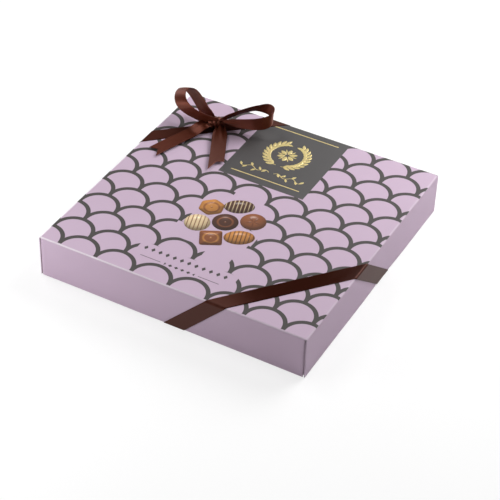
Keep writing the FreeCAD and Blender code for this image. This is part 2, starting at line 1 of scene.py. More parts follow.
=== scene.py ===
import bmesh
import bpy
import numpy as np
from mathutils import Matrix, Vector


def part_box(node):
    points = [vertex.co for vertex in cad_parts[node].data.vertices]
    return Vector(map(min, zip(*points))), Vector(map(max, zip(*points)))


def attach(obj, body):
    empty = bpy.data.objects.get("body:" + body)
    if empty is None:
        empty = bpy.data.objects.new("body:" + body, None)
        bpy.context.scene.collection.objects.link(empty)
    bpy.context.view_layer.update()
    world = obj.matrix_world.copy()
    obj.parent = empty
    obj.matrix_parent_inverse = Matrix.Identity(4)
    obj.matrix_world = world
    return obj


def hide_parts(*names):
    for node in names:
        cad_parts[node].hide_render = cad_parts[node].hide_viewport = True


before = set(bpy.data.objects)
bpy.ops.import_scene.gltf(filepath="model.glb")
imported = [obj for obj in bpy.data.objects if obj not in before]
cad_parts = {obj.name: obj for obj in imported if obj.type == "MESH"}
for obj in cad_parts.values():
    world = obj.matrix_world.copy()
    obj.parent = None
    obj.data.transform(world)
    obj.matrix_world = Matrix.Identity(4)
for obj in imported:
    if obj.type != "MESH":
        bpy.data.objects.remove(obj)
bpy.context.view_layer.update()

# Lengths below are millimetres; add_piece turns them into metres.
MM = 0.001
LID_LOW, LID_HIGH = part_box("lid_carton")
BASE_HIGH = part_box("base_carton")[1]
TRAY_LOW, TRAY_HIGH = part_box("blister_tray")
PAD_LOW, PAD_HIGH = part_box("cushion_pad")
LID_HALF = LID_HIGH.x / MM
LID_TOP = LID_HIGH.z / MM
LID_WALL = LID_TOP - LID_LOW.z / MM
BASE_HALF = BASE_HIGH.x / MM
BASE_WALL = BASE_HIGH.z / MM
TRAY_HALF = TRAY_HIGH.x / MM
TRAY_DECK = TRAY_HIGH.z / MM
TRAY_FOOT = TRAY_LOW.z / MM
PAD_HALF = PAD_HIGH.x / MM
PAD_FOOT = PAD_LOW.z / MM
PAD_TOP = PAD_HIGH.z / MM

# The cartons' board: radius of a fold, thickness, distance of the corner slits from the walls, and the room
# that the lid's wavy top leaves under the solid's top. The glue flaps: length, gap behind the wall, slope of
# their sides, and distance from the panel and from the rim.
FOLD = 1.3
BOARD = 0.7
SLIT_INSET = 1.6
TOP_ROOM = 0.18
FLAP_LENGTH = 18.0
FLAP_GAP = 0.06
FLAP_SLOPE = 3.0
FLAP_PANEL = 3.2
FLAP_RIM = 2.5

# The ribbon: width, thickness, radius of its turn round the lid's rim, the room that the turn takes, and the
# length tucked in behind the wall. The knot: middle, heading, half length and half thicknesses.
RIBBON_WIDTH = 12.0
RIBBON_CLOTH = 0.34
RIM_TURN = 0.38
RIM_ROOM = 0.65
RIBBON_TUCK = 10.0
KNOT = np.array([-68.709, 76.346, 41.0])
KNOT_YAW = np.radians(30.0)
KNOT_HALF = 6.0
KNOT_SIDE = 4.2
KNOT_RISE = 4.4

# The fish-scale print: radius of the half circles, distance between rows, top of the first row, edge of the
# first column, distance between columns, half the stroke's width, number of the last row, and front end.
SCALE_RADIUS = 15.3
SCALE_PITCH = 17.0
SCALE_ROW_TOP = -8.2
SCALE_COLUMN = -108.6
SCALE_SPACING = 30.63
SCALE_STROKE = 1.68
SCALE_LAST_ROW = 5.0
SCALE_FRONT = -108.6

# Plain zones in the scale print: left, right, front and back of each.
CLEARED = [(-13.0, 12.5, -8.5, 11.2), (-30.5, 18.0, -25.0, -6.4), (-28.5, 28.0, -41.0, -25.0),
           (-32.8, 26.0, -58.3, -41.0), (2.2, 23.5, -67.0, -57.0), (-42.5, 38.0, -91.6, -74.9)]

# The label: sides and front, middle and radius of its wreath, its sprigs' line, its rules' lines and ends.
LABEL_LEFT = -38.8
LABEL_RIGHT = 34.5
LABEL_FRONT = 27.8
WREATH_MIDDLE = np.array([-2.0, 72.0])
WREATH_RADIUS = 15.5
SPRIG_LINE = 45.4
RULE_LINES = (102.5, 35.5)
RULE_ENDS = (-31.5, 27.5)

# The printed sweets: middle, size of the one there and of those in the ring, and the ring's two radii.
PICTURE_MIDDLE = np.array([-2.0, -25.5])
MIDDLE_SWEET = 9.9
RING_SWEET = 9.8
RING_REACH = np.array([20.5, 21.5])

# The small marks: middle, and place, half height, spacing and reach of each row of lozenges. The two rules
# beside the front row: ends, measured from the middle, and front and back edges.
MARKS_MIDDLE = -3.5
MARK_ROWS = [(-80.3, 2.3, 6.0, 36.0), (-89.35, 1.5, 5.0, 12.5)]
MARK_RULE_ENDS = (15.5, 32.5)
MARK_RULE_EDGES = (-89.6, -89.1)

# What is printed or pressed lies this far above the board, and is this thick.
PRINT_LIFT = 0.02
GILDING_FILM = 0.04
PICTURE_FILM = 0.03

# The tray: distance between cups, cups in a row, height of their floors, room round a sweet, taper, radii of
# the lip, the foot and the tray's own edge, and the sheet's thickness.
CUP_PITCH = 40.2
CUP_COUNT = 5
CUP_FLOOR = 8.8
CUP_CLEARANCE = 0.9
CUP_DRAFT = 1.5
CUP_LIP = 0.9
CUP_ROUND = 1.6
TRAY_ROUND = 1.5
TRAY_SHEET = 0.45

# Height of the layered squares under their slabs, and the distance between the pad's pressed lines.
SQUARE_HEIGHT = 13.5
QUILT_PITCH = 21.2


def ink(red, green, blue):
    """A colour written in screen values, 0 to 255, as the linear numbers that shaders take."""
    share = np.array([red, green, blue]) / 255.0
    linear = np.where(share <= 0.04045, share / 12.92, ((share + 0.055) / 1.055) ** 2.4)
    return tuple(float(part) for part in linear) + (1.0,)


def eased(share):
    """Smooth step: 0 up to 0, 1 from 1 on, level at both ends."""
    held = np.clip(share, 0.0, 1.0)
    return held * held * (3.0 - 2.0 * held)


def unit(vectors):
    """Vectors along the last axis, each divided by its length."""
    return vectors / np.linalg.norm(vectors, axis=-1, keepdims=True)


def aimed(length, yaw, pitch):
    """A vector of a length, turned by yaw about the upright and raised by pitch, in degrees."""
    turn, rise = np.radians(yaw), np.radians(pitch)
    return length * np.array([np.cos(rise) * np.cos(turn), np.cos(rise) * np.sin(turn), np.sin(rise)])


def toward(angle):
    """The plan direction at an angle in degrees: its cosine and its sine."""
    return np.array([np.cos(np.radians(angle)), np.sin(np.radians(angle))])


def full_turn(count):
    """A row of evenly spaced angles round a full turn, the first not repeated at the end."""
    return np.linspace(0.0, 2.0 * np.pi, count + 1)[:-1][None, :]


def together(*parts):
    """Arrays spread to one shape and joined along a new last axis, as points or cloth coordinates."""
    return np.stack(np.broadcast_arrays(*parts), axis=-1)


def run_along(points):
    """The length of the way along a row of points, at each of them."""
    return np.concatenate([[0.0], np.cumsum(np.linalg.norm(np.diff(points, axis=0), axis=1))])


def grid_faces(rows, columns, wrap):
    """Quads between neighbouring grid points, facing columns cross rows; wrap joins last to first column."""
    index = np.arange(rows * columns).reshape(rows, columns)
    if wrap:
        index = np.hstack([index, index[:, :1]])
    corners = [index[:-1, :-1], index[:-1, 1:], index[1:, 1:], index[1:, :-1]]
    return np.stack(corners, axis=-1).reshape(-1, 4)


def patch(grid, wrap=False, finish=0, cloth=None, paint=None):
    """One grid of points with its finish, its cloth coordinates and its paint, for add_piece."""
    rows, columns = grid.shape[:2]
    cloth = np.zeros((rows, columns, 2)) if cloth is None else cloth
    paint = np.zeros((rows, columns, 3)) if paint is None else paint
    return {"grid": grid, "wrap": wrap, "finish": finish, "cloth": cloth, "paint": paint}


def add_piece(name, body, patches, finishes, stands_for=(), weld=False):
    """One smooth mesh at the origin from grids of points, riding on a body, in place of the model's parts
    that it stands for.
    """
    points, faces, finish_of, start = [], [], [], 0
    for part in patches:
        rows, columns = part["grid"].shape[:2]
        quads = grid_faces(rows, columns, part["wrap"])
        points.append(part["grid"].reshape(-1, 3))
        faces.append(quads + start)
        finish_of.append(np.full(len(quads), part["finish"]))
        start += rows * columns
    cloth = np.concatenate([part["cloth"].reshape(-1, 2) for part in patches])
    paint = np.concatenate([part["paint"].reshape(-1, 3) for part in patches])
    mesh = bpy.data.meshes.new(name)
    mesh.from_pydata((np.concatenate(points) * MM).tolist(), [], np.concatenate(faces).tolist())
    mesh.polygons.foreach_set("material_index", np.concatenate(finish_of).astype(np.int32))
    mesh.polygons.foreach_set("use_smooth", np.ones(len(mesh.polygons), dtype=bool))
    corner_point = np.empty(len(mesh.loops), dtype=np.int32)
    mesh.loops.foreach_get("vertex_index", corner_point)
    mesh.uv_layers.new(name="cloth").data.foreach_set("uv", cloth[corner_point].ravel())
    colour = np.hstack([paint, np.ones((len(paint), 1))])
    mesh.color_attributes.new("paint", "FLOAT_COLOR", "POINT").data.foreach_set("color", colour.ravel())
    if weld:
        shell = bmesh.new()
        shell.from_mesh(mesh)
        bmesh.ops.remove_doubles(shell, verts=shell.verts, dist=2e-6)
        shell.to_mesh(mesh)
        shell.free()
    for finish in finishes:
        mesh.materials.append(finish)
    piece = bpy.data.objects.new(name, mesh)
    bpy.context.scene.collection.objects.link(piece)
    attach(piece, body)
    if stands_for:
        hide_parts(*stands_for)
    return piece


def thicken(piece, thickness, offset, inner=0, rim=0):
    """A wall of even thickness; inner and rim pick the finishes of its far side and its cut edge."""
    wall = piece.modifiers.new("thickness", "SOLIDIFY")
    wall.thickness = thickness * MM
    wall.offset = offset
    wall.use_even_offset = True
    wall.material_offset = inner
    wall.material_offset_rim = rim
    even = piece.modifiers.new("even shading", "WEIGHTED_NORMAL")
    even.mode = "FACE_AREA"
    even.weight = 100


class Finish:
    """A material's node tree, with short calls that add a node and give back its output."""

    def __init__(self, name, sockets):
        self.material = bpy.data.materials.new(name)
        self.material.use_nodes = True
        self.nodes = self.material.node_tree.nodes
        self.links = self.material.node_tree.links
        self.shader = self.nodes["Principled BSDF"]
        for socket, value in sockets.items():
            self.set(socket, value)

    def feed(self, target, value):
        """A socket gets a link or a number."""
        if isinstance(value, bpy.types.NodeSocket):
            self.links.new(value, target)
        else:
            target.default_value = value

    def set(self, socket, value):
        """One of the shader's sockets gets a link or a number."""
        self.feed(self.shader.inputs[socket], value)

    def node(self, kind, *values, **settings):
        """A node with its settings and its first inputs."""
        made = self.nodes.new(kind)
        for setting, value in settings.items():
            setattr(made, setting, value)
        for target, value in zip(made.inputs, values):
            self.feed(target, value)
        return made

    def maths(self, operation, *values):
        """One step of arithmetic."""
        return self.node("ShaderNodeMath", *values, operation=operation).outputs[0]

    def plus(self, first, second):
        """Both values added."""
        return self.maths("ADD", first, second)

    def less(self, first, second):
        """The first value less the second."""
        return self.maths("SUBTRACT", first, second)

    def times(self, first, second):
        """Both values multiplied."""
        return self.maths("MULTIPLY", first, second)

    def over(self, first, second):
        """The first value divided by the second."""
        return self.maths("DIVIDE", first, second)

    def scaled(self, value, factor, start):
        """A value multiplied by a factor and added to a start."""
        return self.maths("MULTIPLY_ADD", value, factor, start)

    def size(self, value):
        """A value without its sign."""
        return self.maths("ABSOLUTE", value)

    def most(self, first, second):
        """The larger of two values."""
        return self.maths("MAXIMUM", first, second)

    def step(self, value, low, high):
        """Smooth step from 0 at low to 1 at high; low may lie above high."""
        made = self.node("ShaderNodeMapRange", value, low, high, 0.0, 1.0, interpolation_type="SMOOTHSTEP")
        return made.outputs[0]

    def between(self, value, low, high, edge):
        """1 between low and high with soft edges, 0 outside."""
        from_low = self.step(value, low - edge, low + edge)
        return self.times(from_low, self.step(value, high + edge, high - edge))

    def mix(self, share, first, second):
        """A blend of two colours."""
        made = self.node("ShaderNodeMix", data_type="RGBA")
        for target, value in ((0, share), (6, first), (7, second)):
            self.feed(made.inputs[target], value)
        return made.outputs[2]

    def place(self):
        """Object coordinates in millimetres."""
        where = self.node("ShaderNodeTexCoord").outputs["Object"]
        made = self.node("ShaderNodeVectorMath", where, operation="SCALE")
        made.inputs["Scale"].default_value = 1.0 / MM
        return made.outputs[0]

    def stretched(self, vector, scale):
        """A vector with each part multiplied."""
        return self.node("ShaderNodeVectorMath", vector, scale, operation="MULTIPLY").outputs[0]

    def parts(self, vector):
        """The three numbers of a vector."""
        return self.node("ShaderNodeSeparateXYZ", vector).outputs

    def noise(self, vector, scale, detail):
        """Smooth noise between 0 and 1."""
        made = self.node("ShaderNodeTexNoise", vector)
        made.inputs["Scale"].default_value = scale
        made.inputs["Detail"].default_value = detail
        return made.outputs[0]

    def cloth(self):
        """The piece's own cloth coordinates."""
        return self.node("ShaderNodeUVMap", uv_map="cloth").outputs[0]

    def paint(self):
        """The piece's own painted colour."""
        return self.node("ShaderNodeVertexColor", layer_name="paint").outputs[0]

    def bump(self, height, strength, distance):
        """Small relief from a height in millimetres."""
        made = self.node("ShaderNodeBump")
        made.inputs["Strength"].default_value = strength
        made.inputs["Distance"].default_value = distance * MM
        self.feed(made.inputs["Height"], height)
        self.set("Normal", made.outputs[0])


LILAC = ink(199, 175, 196)
LILAC_PALE = ink(203, 180, 201)
# Near-white of the lid's top folds: rubbed-off wear and a painted highlight.
PALE_WEAR_AND_HIGHLIGHT = ink(250, 244, 249)
CHARCOAL = ink(66, 62, 60)
CHARCOAL_PALE = ink(108, 103, 101)
LABEL_GREY = ink(64, 61, 61)
LABEL_GREY_PALE = ink(92, 89, 89)
SATIN_EDGE = ink(33, 15, 11)
SATIN_GLEAM = (1.0, 0.34, 0.24, 1.0)


def scale_strokes(made, where, x, y):
    """1 on the strokes of the fish-scale print and 0 off them.

    The row of half circles that a point belongs to is the whole part of its distance below the first row's
    tops over the pitch. A stroke is drawn where the distance from the nearest half circle's middle differs
    from its radius by less than half the stroke; below the middles the half circles run on as short stems.
    The print is cleared round the label, the picture and the small marks."""
    rows = made.over(made.less(SCALE_ROW_TOP, y), SCALE_PITCH)
    row = made.maths("FLOOR", rows)
    depth = made.times(made.maths("FRACT", rows), SCALE_PITCH)
    odd = made.maths("FLOORED_MODULO", row, 2.0)
    columns = made.over(made.less(x, SCALE_COLUMN), SCALE_SPACING)
    strokes = []
    for shift, start in ((0.0, SCALE_RADIUS), (0.5, SCALE_RADIUS + SCALE_PITCH)):
        phase = made.maths("FRACT", made.plus(columns, made.scaled(odd, 0.5, shift)))
        aside = made.times(made.size(made.less(phase, 0.5)), SCALE_SPACING)
        above = made.most(made.less(start, depth), 0.0)
        reach = made.maths("SQRT", made.plus(made.times(aside, aside), made.times(above, above)))
        strokes.append(made.size(made.less(reach, SCALE_RADIUS)))
    past = made.times(made.maths("GREATER_THAN", row, SCALE_LAST_ROW - 0.5), 9.0)
    ragged = made.scaled(made.noise(where, 1.6, 3.0), 0.16, -0.08)
    off = made.plus(made.maths("MINIMUM", strokes[0], made.plus(strokes[1], past)), ragged)
    cleared = 0.0
    for left, right, low, high in CLEARED:
        zone = made.times(made.between(x, left, right, 0.2), made.between(y, low, high, 0.2))
        cleared = made.most(cleared, zone)
    kept = made.times(made.less(1.0, cleared), made.step(y, SCALE_FRONT, SCALE_FRONT + 0.3))
    return made.times(made.step(off, SCALE_STROKE + 0.1, SCALE_STROKE - 0.1), kept)


def small_marks(made, x, y):
    """1 on two rows of lozenges and on the rules beside the front row.

    A lozenge is where the shares of its half width and its half height add up to less than 1."""
    centred = made.size(made.less(x, MARKS_MIDDLE))
    marks = made.times(made.between(centred, *MARK_RULE_ENDS, 0.08), made.between(y, *MARK_RULE_EDGES, 0.06))
    for low, height, spacing, reach in MARK_ROWS:
        beat = made.size(made.less(made.maths("FRACT", made.over(centred, spacing)), 0.5))
        tall = made.over(made.size(made.less(y, low)), height)
        lozenge = made.step(made.plus(made.times(beat, spacing / 1.6), tall), 1.06, 0.94)
        marks = made.most(marks, made.times(lozenge, made.step(centred, reach + 0.1, reach - 0.1)))
    return marks


def fold_wear_and_highlight(made, where, x, y, z):
    """How far the lilac is paled along the lid's top edges, by wear and a painted highlight: in patches, and
    most at the left.
    """
    outward = made.most(made.size(x), made.size(y))
    fold = made.times(made.step(outward, LID_HALF - 1.5, LID_HALF - 1.0),
                      made.step(z, LID_TOP - 0.95, LID_TOP - 0.65))
    patchy = made.scaled(made.noise(where, 0.12, 3.0), 0.5, 0.55)
    # Painted highlight: the paling is strongest at the left edge and fades to the right.
    highlight_fade = made.scaled(made.step(x, LID_HALF, -LID_HALF), 0.6, 0.25)
    return made.times(fold, made.times(patchy, highlight_fade))


def printed_board():
    """Lilac board, worn and painted with a pale highlight along the folds, with the dark print and the
    glossier label on the lid's top.
    """
    made = Finish("printed_board", {})
    where = made.place()
    x, y, z = made.parts(where)
    top = made.step(z, LID_TOP - 0.75, LID_TOP - 0.6)
    print_share = made.times(made.most(scale_strokes(made, where, x, y), small_marks(made, x, y)), top)
    label = made.times(made.step(y, LABEL_FRONT, LABEL_FRONT + 0.2), top)
    label = made.times(made.between(x, LABEL_LEFT, LABEL_RIGHT, 0.08), label)
    fibre = made.noise(where, 2.2, 3.0)
    paper = made.mix(made.noise(where, 0.035, 3.0), LILAC, LILAC_PALE)
    # The folds are paled toward near-white: partly rubbed-off wear, partly a painted highlight.
    paper = made.mix(fold_wear_and_highlight(made, where, x, y, z), paper, PALE_WEAR_AND_HIGHLIGHT)
    inked = made.mix(made.times(fibre, 0.3), CHARCOAL, CHARCOAL_PALE)
    panel = made.mix(made.times(fibre, 0.25), LABEL_GREY, LABEL_GREY_PALE)
    made.set("Base Color", made.mix(label, made.mix(print_share, paper, inked), panel))
    made.set("Roughness", made.scaled(label, -0.15, 0.65))
    made.set("Specular IOR Level", made.scaled(label, 0.6, 0.4))
    made.bump(made.plus(fibre, made.times(made.noise(where, 9.0, 2.0), 0.4)), 0.12, 0.05)
    return made.material


def bare_board(name, colour, paler):
    """Uncoated board: fine fibres in colour and relief."""
    made = Finish(name, {"Roughness": 0.85, "Specular IOR Level": 0.25})
    where = made.place()
    fibre = made.noise(made.stretched(where, (0.6, 0.6, 2.0)), 2.4, 4.0)
    made.set("Base Color", made.mix(fibre, colour, paler))
    made.bump(fibre, 0.25, 0.06)
    return made.material


def satin(name, dark, pale, gleam, rough):
    """Brown satin ribbon by its cloth coordinates: fine ribs across, long floats along, and a corded edge."""
    made = Finish(name, {"Anisotropic": 1.0, "Specular IOR Level": gleam, "Specular Tint": SATIN_GLEAM})
    cloth = made.cloth()
    across, along, _ = made.parts(cloth)
    ribs = made.maths("SINE", made.times(along, 240.0))
    floats = made.noise(made.stretched(cloth, (70.0, 4.0, 1.0)), 1.0, 3.0)
    cloud = made.noise(made.stretched(cloth, (1.4, 1.2, 1.0)), 1.0, 2.0)
    edge = made.step(made.size(made.less(across, 0.5)), 0.465, 0.485)
    colour = made.mix(made.times(cloud, 0.35), made.mix(floats, dark, pale), dark)
    made.set("Base Color", made.mix(made.times(edge, 0.45), colour, SATIN_EDGE))
    made.set("Roughness", made.scaled(floats, 0.1, rough))
    relief = made.plus(made.times(ribs, 0.15), made.times(floats, 0.6))
    made.bump(made.plus(relief, made.times(edge, 1.2)), 0.15, 0.06)
    made.set("Tangent", made.node("ShaderNodeTangent", direction_type="UV_MAP", uv_map="cloth").outputs[0])
    return made.material


def gilding():
    """Pressed gold foil with faint creases and a worn grain."""
    made = Finish("gilding", {"Metallic": 0.5})
    where = made.place()
    grain = made.noise(where, 1.8, 4.0)
    made.set("Base Color", made.mix(grain, ink(238, 212, 136), ink(255, 238, 176)))
    made.set("Roughness", made.scaled(grain, 0.25, 0.25))
    made.bump(grain, 0.2, 0.03)
    return made.material


def picture_print():
    """Printed colours under a thin varnish."""
    made = Finish("picture_print", {"Roughness": 0.62, "Specular IOR Level": 0.4})
    fleck = made.noise(made.place(), 3.0, 2.0)
    shade = made.mix(made.times(fleck, 0.12), made.paint(), ink(150, 110, 90))
    made.set("Base Color", shade)
    made.bump(fleck, 0.08, 0.03)
    return made.material


def confection(name, colour, paler, second, roughness, coat):
    """Chocolate or cream: cloudy colour, fine bloom, and a second colour where the piece is painted."""
    made = Finish(name, {"Coat Weight": coat, "Coat Roughness": 0.18, "Specular IOR Level": 0.45})
    where = made.place()
    cloud = made.noise(where, 0.25, 3.0)
    grain = made.noise(where, 1.4, 4.0)
    body = made.mix(cloud, colour, paler)
    share = made.parts(made.paint())[0]
    made.set("Base Color", made.mix(share, body, second))
    made.set("Roughness", made.scaled(grain, 0.18, roughness))
    made.bump(made.plus(made.times(cloud, 2.0), grain), 0.15, 0.08)
    return made.material


def formed_sheet():
    """Gold-brown formed plastic sheet: glossy, with draw marks."""
    made = Finish("formed_sheet", {"Metallic": 0.35, "Coat Weight": 0.4, "Coat Roughness": 0.12})
    where = made.place()
    draw = made.noise(made.stretched(where, (1.0, 1.0, 0.4)), 0.12, 3.0)
    made.set("Base Color", made.mix(draw, ink(150, 112, 62), ink(170, 131, 77)))
    made.set("Roughness", made.scaled(draw, 0.16, 0.3))
    made.bump(draw, 0.15, 0.1)
    return made.material


def glassine():
    """Dark brown embossed paper of the pad: crimped grain and a dull gloss."""
    made = Finish("glassine", {"Specular IOR Level": 0.35})
    where = made.place()
    crimp = made.noise(where, 0.9, 4.0)
    made.set("Base Color", made.mix(crimp, ink(70, 42, 32), ink(96, 62, 48)))
    made.set("Roughness", made.scaled(crimp, 0.2, 0.5))
    made.bump(crimp, 0.35, 0.15)
    return made.material


PRINTED_BOARD = printed_board()
BASE_BOARD = bare_board("base_board", ink(206, 186, 205), ink(220, 202, 219))
INNER_BOARD = bare_board("inner_board", ink(214, 209, 203), ink(228, 224, 218))
BOARD_CORE = bare_board("board_core", ink(226, 217, 224), ink(240, 233, 238))
# One ribbon satin in three copies: the bands' own, the bow's painted lighter, and the loops' painted lighter
# still, for the light on the bow.
BAND_SATIN = satin("band_satin", ink(43, 17, 10), ink(54, 23, 15), 0.5, 0.27)
LOOP_SATIN_PAINTED_LIGHTER = satin("loop_satin_painted_lighter", ink(80, 37, 24), ink(102, 49, 33), 1.0, 0.3)
BOW_SATIN_PAINTED_LIGHTER = satin("bow_satin_painted_lighter", ink(60, 27, 17), ink(78, 37, 25), 1.0, 0.3)
GILDING = gilding()
PICTURE_PRINT = picture_print()
FORMED_SHEET = formed_sheet()
GLASSINE = glassine()


def carton_way(half, wall, turn=0.0, tuck=0.0):
    """The way from a carton's middle over a fold: length, distance out, distance down, heading.

    The heading is level on the panel, turns a quarter round the fold, points down along the wall, turns half
    round the rim and points up inside. Out and down are the running sums of its cosine and sine."""
    runs = [0.0, half - FOLD, FOLD * np.pi / 2, wall - FOLD, turn * np.pi, tuck]
    length = np.linspace(0.0, sum(runs), 8001)
    heading = np.interp(length, np.cumsum(runs), np.radians([0, 0, 90, 90, 270, 270]))
    middle = (heading[1:] + heading[:-1]) / 2
    out = np.concatenate([[0.0], np.cumsum(np.cos(middle))]) * length[1]
    down = np.concatenate([[0.0], np.cumsum(np.sin(middle))]) * length[1]
    return length, out, down, heading


LID_DROP = LID_WALL - RIM_ROOM
LID_WAY = carton_way(LID_HALF, LID_DROP, RIM_TURN, RIBBON_TUCK)
LID_EDGE = LID_HALF - FOLD + FOLD * np.pi / 2
LID_BEND = LID_HALF - FOLD + FOLD * np.pi / 4
LID_END = LID_EDGE + LID_DROP - FOLD
TUCK_END = LID_END + RIBBON_TUCK


def lid_slack(across, along):
    """How the lid's board gives: a wave on the top, walls that bow, and their feet drawn in under the ribbon.

    The top's wave is a sine across times a cosine along that fades to the edges. The walls bow as sines that
    grow from the fold to the rim, less a bell curve where the ribbon pulls."""
    share_x = np.clip((np.abs(across) - LID_EDGE) / LID_WALL, 0.0, 1.0)
    share_y = np.clip((np.abs(along) - LID_EDGE) / LID_WALL, 0.0, 1.0)
    level_x = np.clip(1.0 - (across / LID_HALF) ** 6, 0.0, 1.0)
    level_y = np.clip(1.0 - (along / LID_HALF) ** 6, 0.0, 1.0)
    lift = 0.16 * (level_x * level_y) * np.sin(0.024 * across + 0.6) * np.cos(0.019 * along - 0.4)
    drawn = np.where(across > 0, 0.75, 0.2)
    side = 0.12 * np.sin(0.045 * along + 0.8) - drawn * np.exp(-((along - 16) / 24) ** 2)
    front = 0.14 * np.sin(0.05 * across + 2.2) - 0.25 * np.exp(-((across - 5) / 20) ** 2)
    return share_x * side * np.sign(across), share_y * front * np.sign(along), lift


def over_lid(across, along, lift=0.0):
    """Points on the lid from places on its flat blank, raised by lift along the board's outward side."""
    across, along, lift = np.broadcast_arrays(across, along, lift)
    length, out, down, heading = LID_WAY
    turn_x = np.interp(np.abs(across), length, heading)
    turn_y = np.interp(np.abs(along), length, heading)
    give_x, give_y, give_z = lid_slack(across, along)
    x = np.sign(across) * (np.interp(np.abs(across), length, out) + lift * np.sin(turn_x)) + give_x
    y = np.sign(along) * (np.interp(np.abs(along), length, out) + lift * np.sin(turn_y)) + give_y
    drop_x = np.interp(np.abs(across), length, down)
    drop_y = np.interp(np.abs(along), length, down) * (1.0 - eased(drop_x / FOLD))
    z = LID_TOP - TOP_ROOM - drop_x - drop_y + lift * np.minimum(np.cos(turn_x), np.cos(turn_y)) + give_z
    return together(x, y, z)


def over_base(across, along):
    """Points on the base carton from places on its blank: the same folds, standing up from its floor."""
    across, along = np.broadcast_arrays(across, along)
    length, out, down, _ = carton_way(BASE_HALF, BASE_WALL)
    x = np.sign(across) * np.interp(np.abs(across), length, out)
    y = np.sign(along) * np.interp(np.abs(along), length, out)
    rise_x = np.interp(np.abs(across), length, down)
    rise_y = np.interp(np.abs(along), length, down) * (1.0 - eased(rise_x / FOLD))
    return together(x, y, rise_x + rise_y)


def both_sides(positive):
    """A row of distances from the middle, set out to both sides of it."""
    return np.concatenate([-positive[:0:-1], positive])


def folded_carton(over, half, wall, low, high, upright):
    """The patches of a carton folded from one blank.

    The middle patch runs over the panel and the two side walls, and ends part of the way round the front and
    back folds. The front and back walls go on from there, cut free from the side walls by a slit. Glue flaps
    stand behind those slits."""
    panel = np.concatenate([np.linspace(0.0, half - SLIT_INSET, 48), [half - FOLD]])
    fold = half - FOLD + FOLD * np.linspace(0.0, np.pi / 2, 7)[1:]
    walls = fold[-1] + np.linspace(0.0, wall - FOLD, 15)[1:]
    across = both_sides(np.concatenate([panel, fold, walls]))
    along = both_sides(np.concatenate([panel, fold[:4]]))
    grids = [over(across[None, :], along[:, None])]
    narrow = both_sides(panel[:-1])
    outer = np.concatenate([fold[3:], walls])
    for rows in (-outer[::-1], outer):
        grid = over(narrow[None, :], rows[:, None])
        drop = np.abs(rows) - fold[-1]
        ragged = 0.09 * np.sin(0.55 * drop) + 0.06 * np.sin(1.3 * drop + 1.0)
        grid[:, 0, 0] += np.where(drop > 0, ragged, 0.0)
        grid[:, -1, 0] -= np.where(drop > 0, ragged[::-1], 0.0)
        grids.append(grid)
    rise = np.linspace(0.0, 1.0, 7)[:, None]
    run = np.linspace(0.0, 1.0, 9)[None, :]
    for side in (-1.0, 1.0):
        for end in (-1.0, 1.0):
            reach = run if side * end > 0 else run[:, ::-1]
            x = side * (half - BOARD - FLAP_LENGTH * reach)
            y = end * (half - BOARD - FLAP_GAP)
            slope = FLAP_SLOPE * reach
            z = low + slope + (high - low - 2.0 * slope) * rise
            grids.append(together(x, y, z))
    if upright:
        grids[:3] = [grid[::-1] for grid in grids[:3]]
    return [patch(grid) for grid in grids]


LID_FOOT = LID_TOP - LID_WALL
lid = add_piece("lid_shell", "lid",
                folded_carton(over_lid, LID_HALF, LID_DROP, LID_FOOT + FLAP_RIM, LID_TOP - FLAP_PANEL, False),
                [PRINTED_BOARD, INNER_BOARD], ["lid_carton"], weld=True)
thicken(lid, BOARD, -1.0, inner=1)
base = add_piece("base_shell", "base",
                 folded_carton(over_base, BASE_HALF, BASE_WALL, FLAP_PANEL, BASE_WALL - FLAP_RIM, True),
                 [BASE_BOARD, INNER_BOARD, BOARD_CORE], ["base_carton"], weld=True)
thicken(base, BOARD, -1.0, inner=1, rim=2)


def band_over_lid(far, near):
    """A ribbon over two edges of the lid between two edge lines on the flat blank.

    Both lines run straight from stop to stop: inside end, rim, fold, any stops on the top, fold, rim, inside
    end. Rows are close together where the ribbon turns, and the way along is measured in ribbon widths."""
    far, near = np.array(far), np.array(near)
    last = len(far) - 1
    turn = np.pi * RIM_TURN
    ways = np.concatenate([np.linspace(TUCK_END, LID_END + turn, 6), LID_END + turn * np.linspace(0.9, 0, 10),
                           np.linspace(LID_END, LID_EDGE, 18)[1:], np.linspace(LID_EDGE, LID_BEND, 6)[1:]])
    start = np.interp(ways, [LID_BEND, LID_END, TUCK_END], [2.0, 1.0, 0.0])
    close = np.array([0.003, 0.006, 0.0105, 0.02, 0.04])
    top = np.concatenate([2.0 + close, np.linspace(2.07, last - 2.07, 70), last - 2.0 - close[::-1]])
    stops = np.concatenate([start, top, last - start[::-1]])
    far, near = [together(*[np.interp(stops, np.arange(last + 1), edge[:, axis]) for axis in (0, 1)])
                 for edge in (far, near)]
    share = np.linspace(0.0, 1.0, 15)[None, :, None]
    flat = far[:, None, :] * (1.0 - share) + near[:, None, :] * share
    run = run_along((far + near) / 2) / RIBBON_WIDTH
    on_top = eased((stops - 2.0) / 0.12) * eased((last - 2.0 - stops) / 0.12)
    loose = 0.03 * on_top[:, None] * (1.0 + np.sin(3.1 * run[:, None] + 5.0 * share[:, :, 0]))
    grid = over_lid(flat[..., 0], flat[..., 1], 0.03 + loose)
    return patch(grid, cloth=together(share[:, :, 0], run[:, None])), run[-1] * RIBBON_WIDTH


def add_ribbon(name, part, finish, node, side):
    """A ribbon on the lid in place of a node, its thickness above (1), below (-1) or to both sides (0)."""
    piece = add_piece(name, "lid", [part], [finish], [node])
    thicken(piece, RIBBON_CLOTH, side)
    return piece


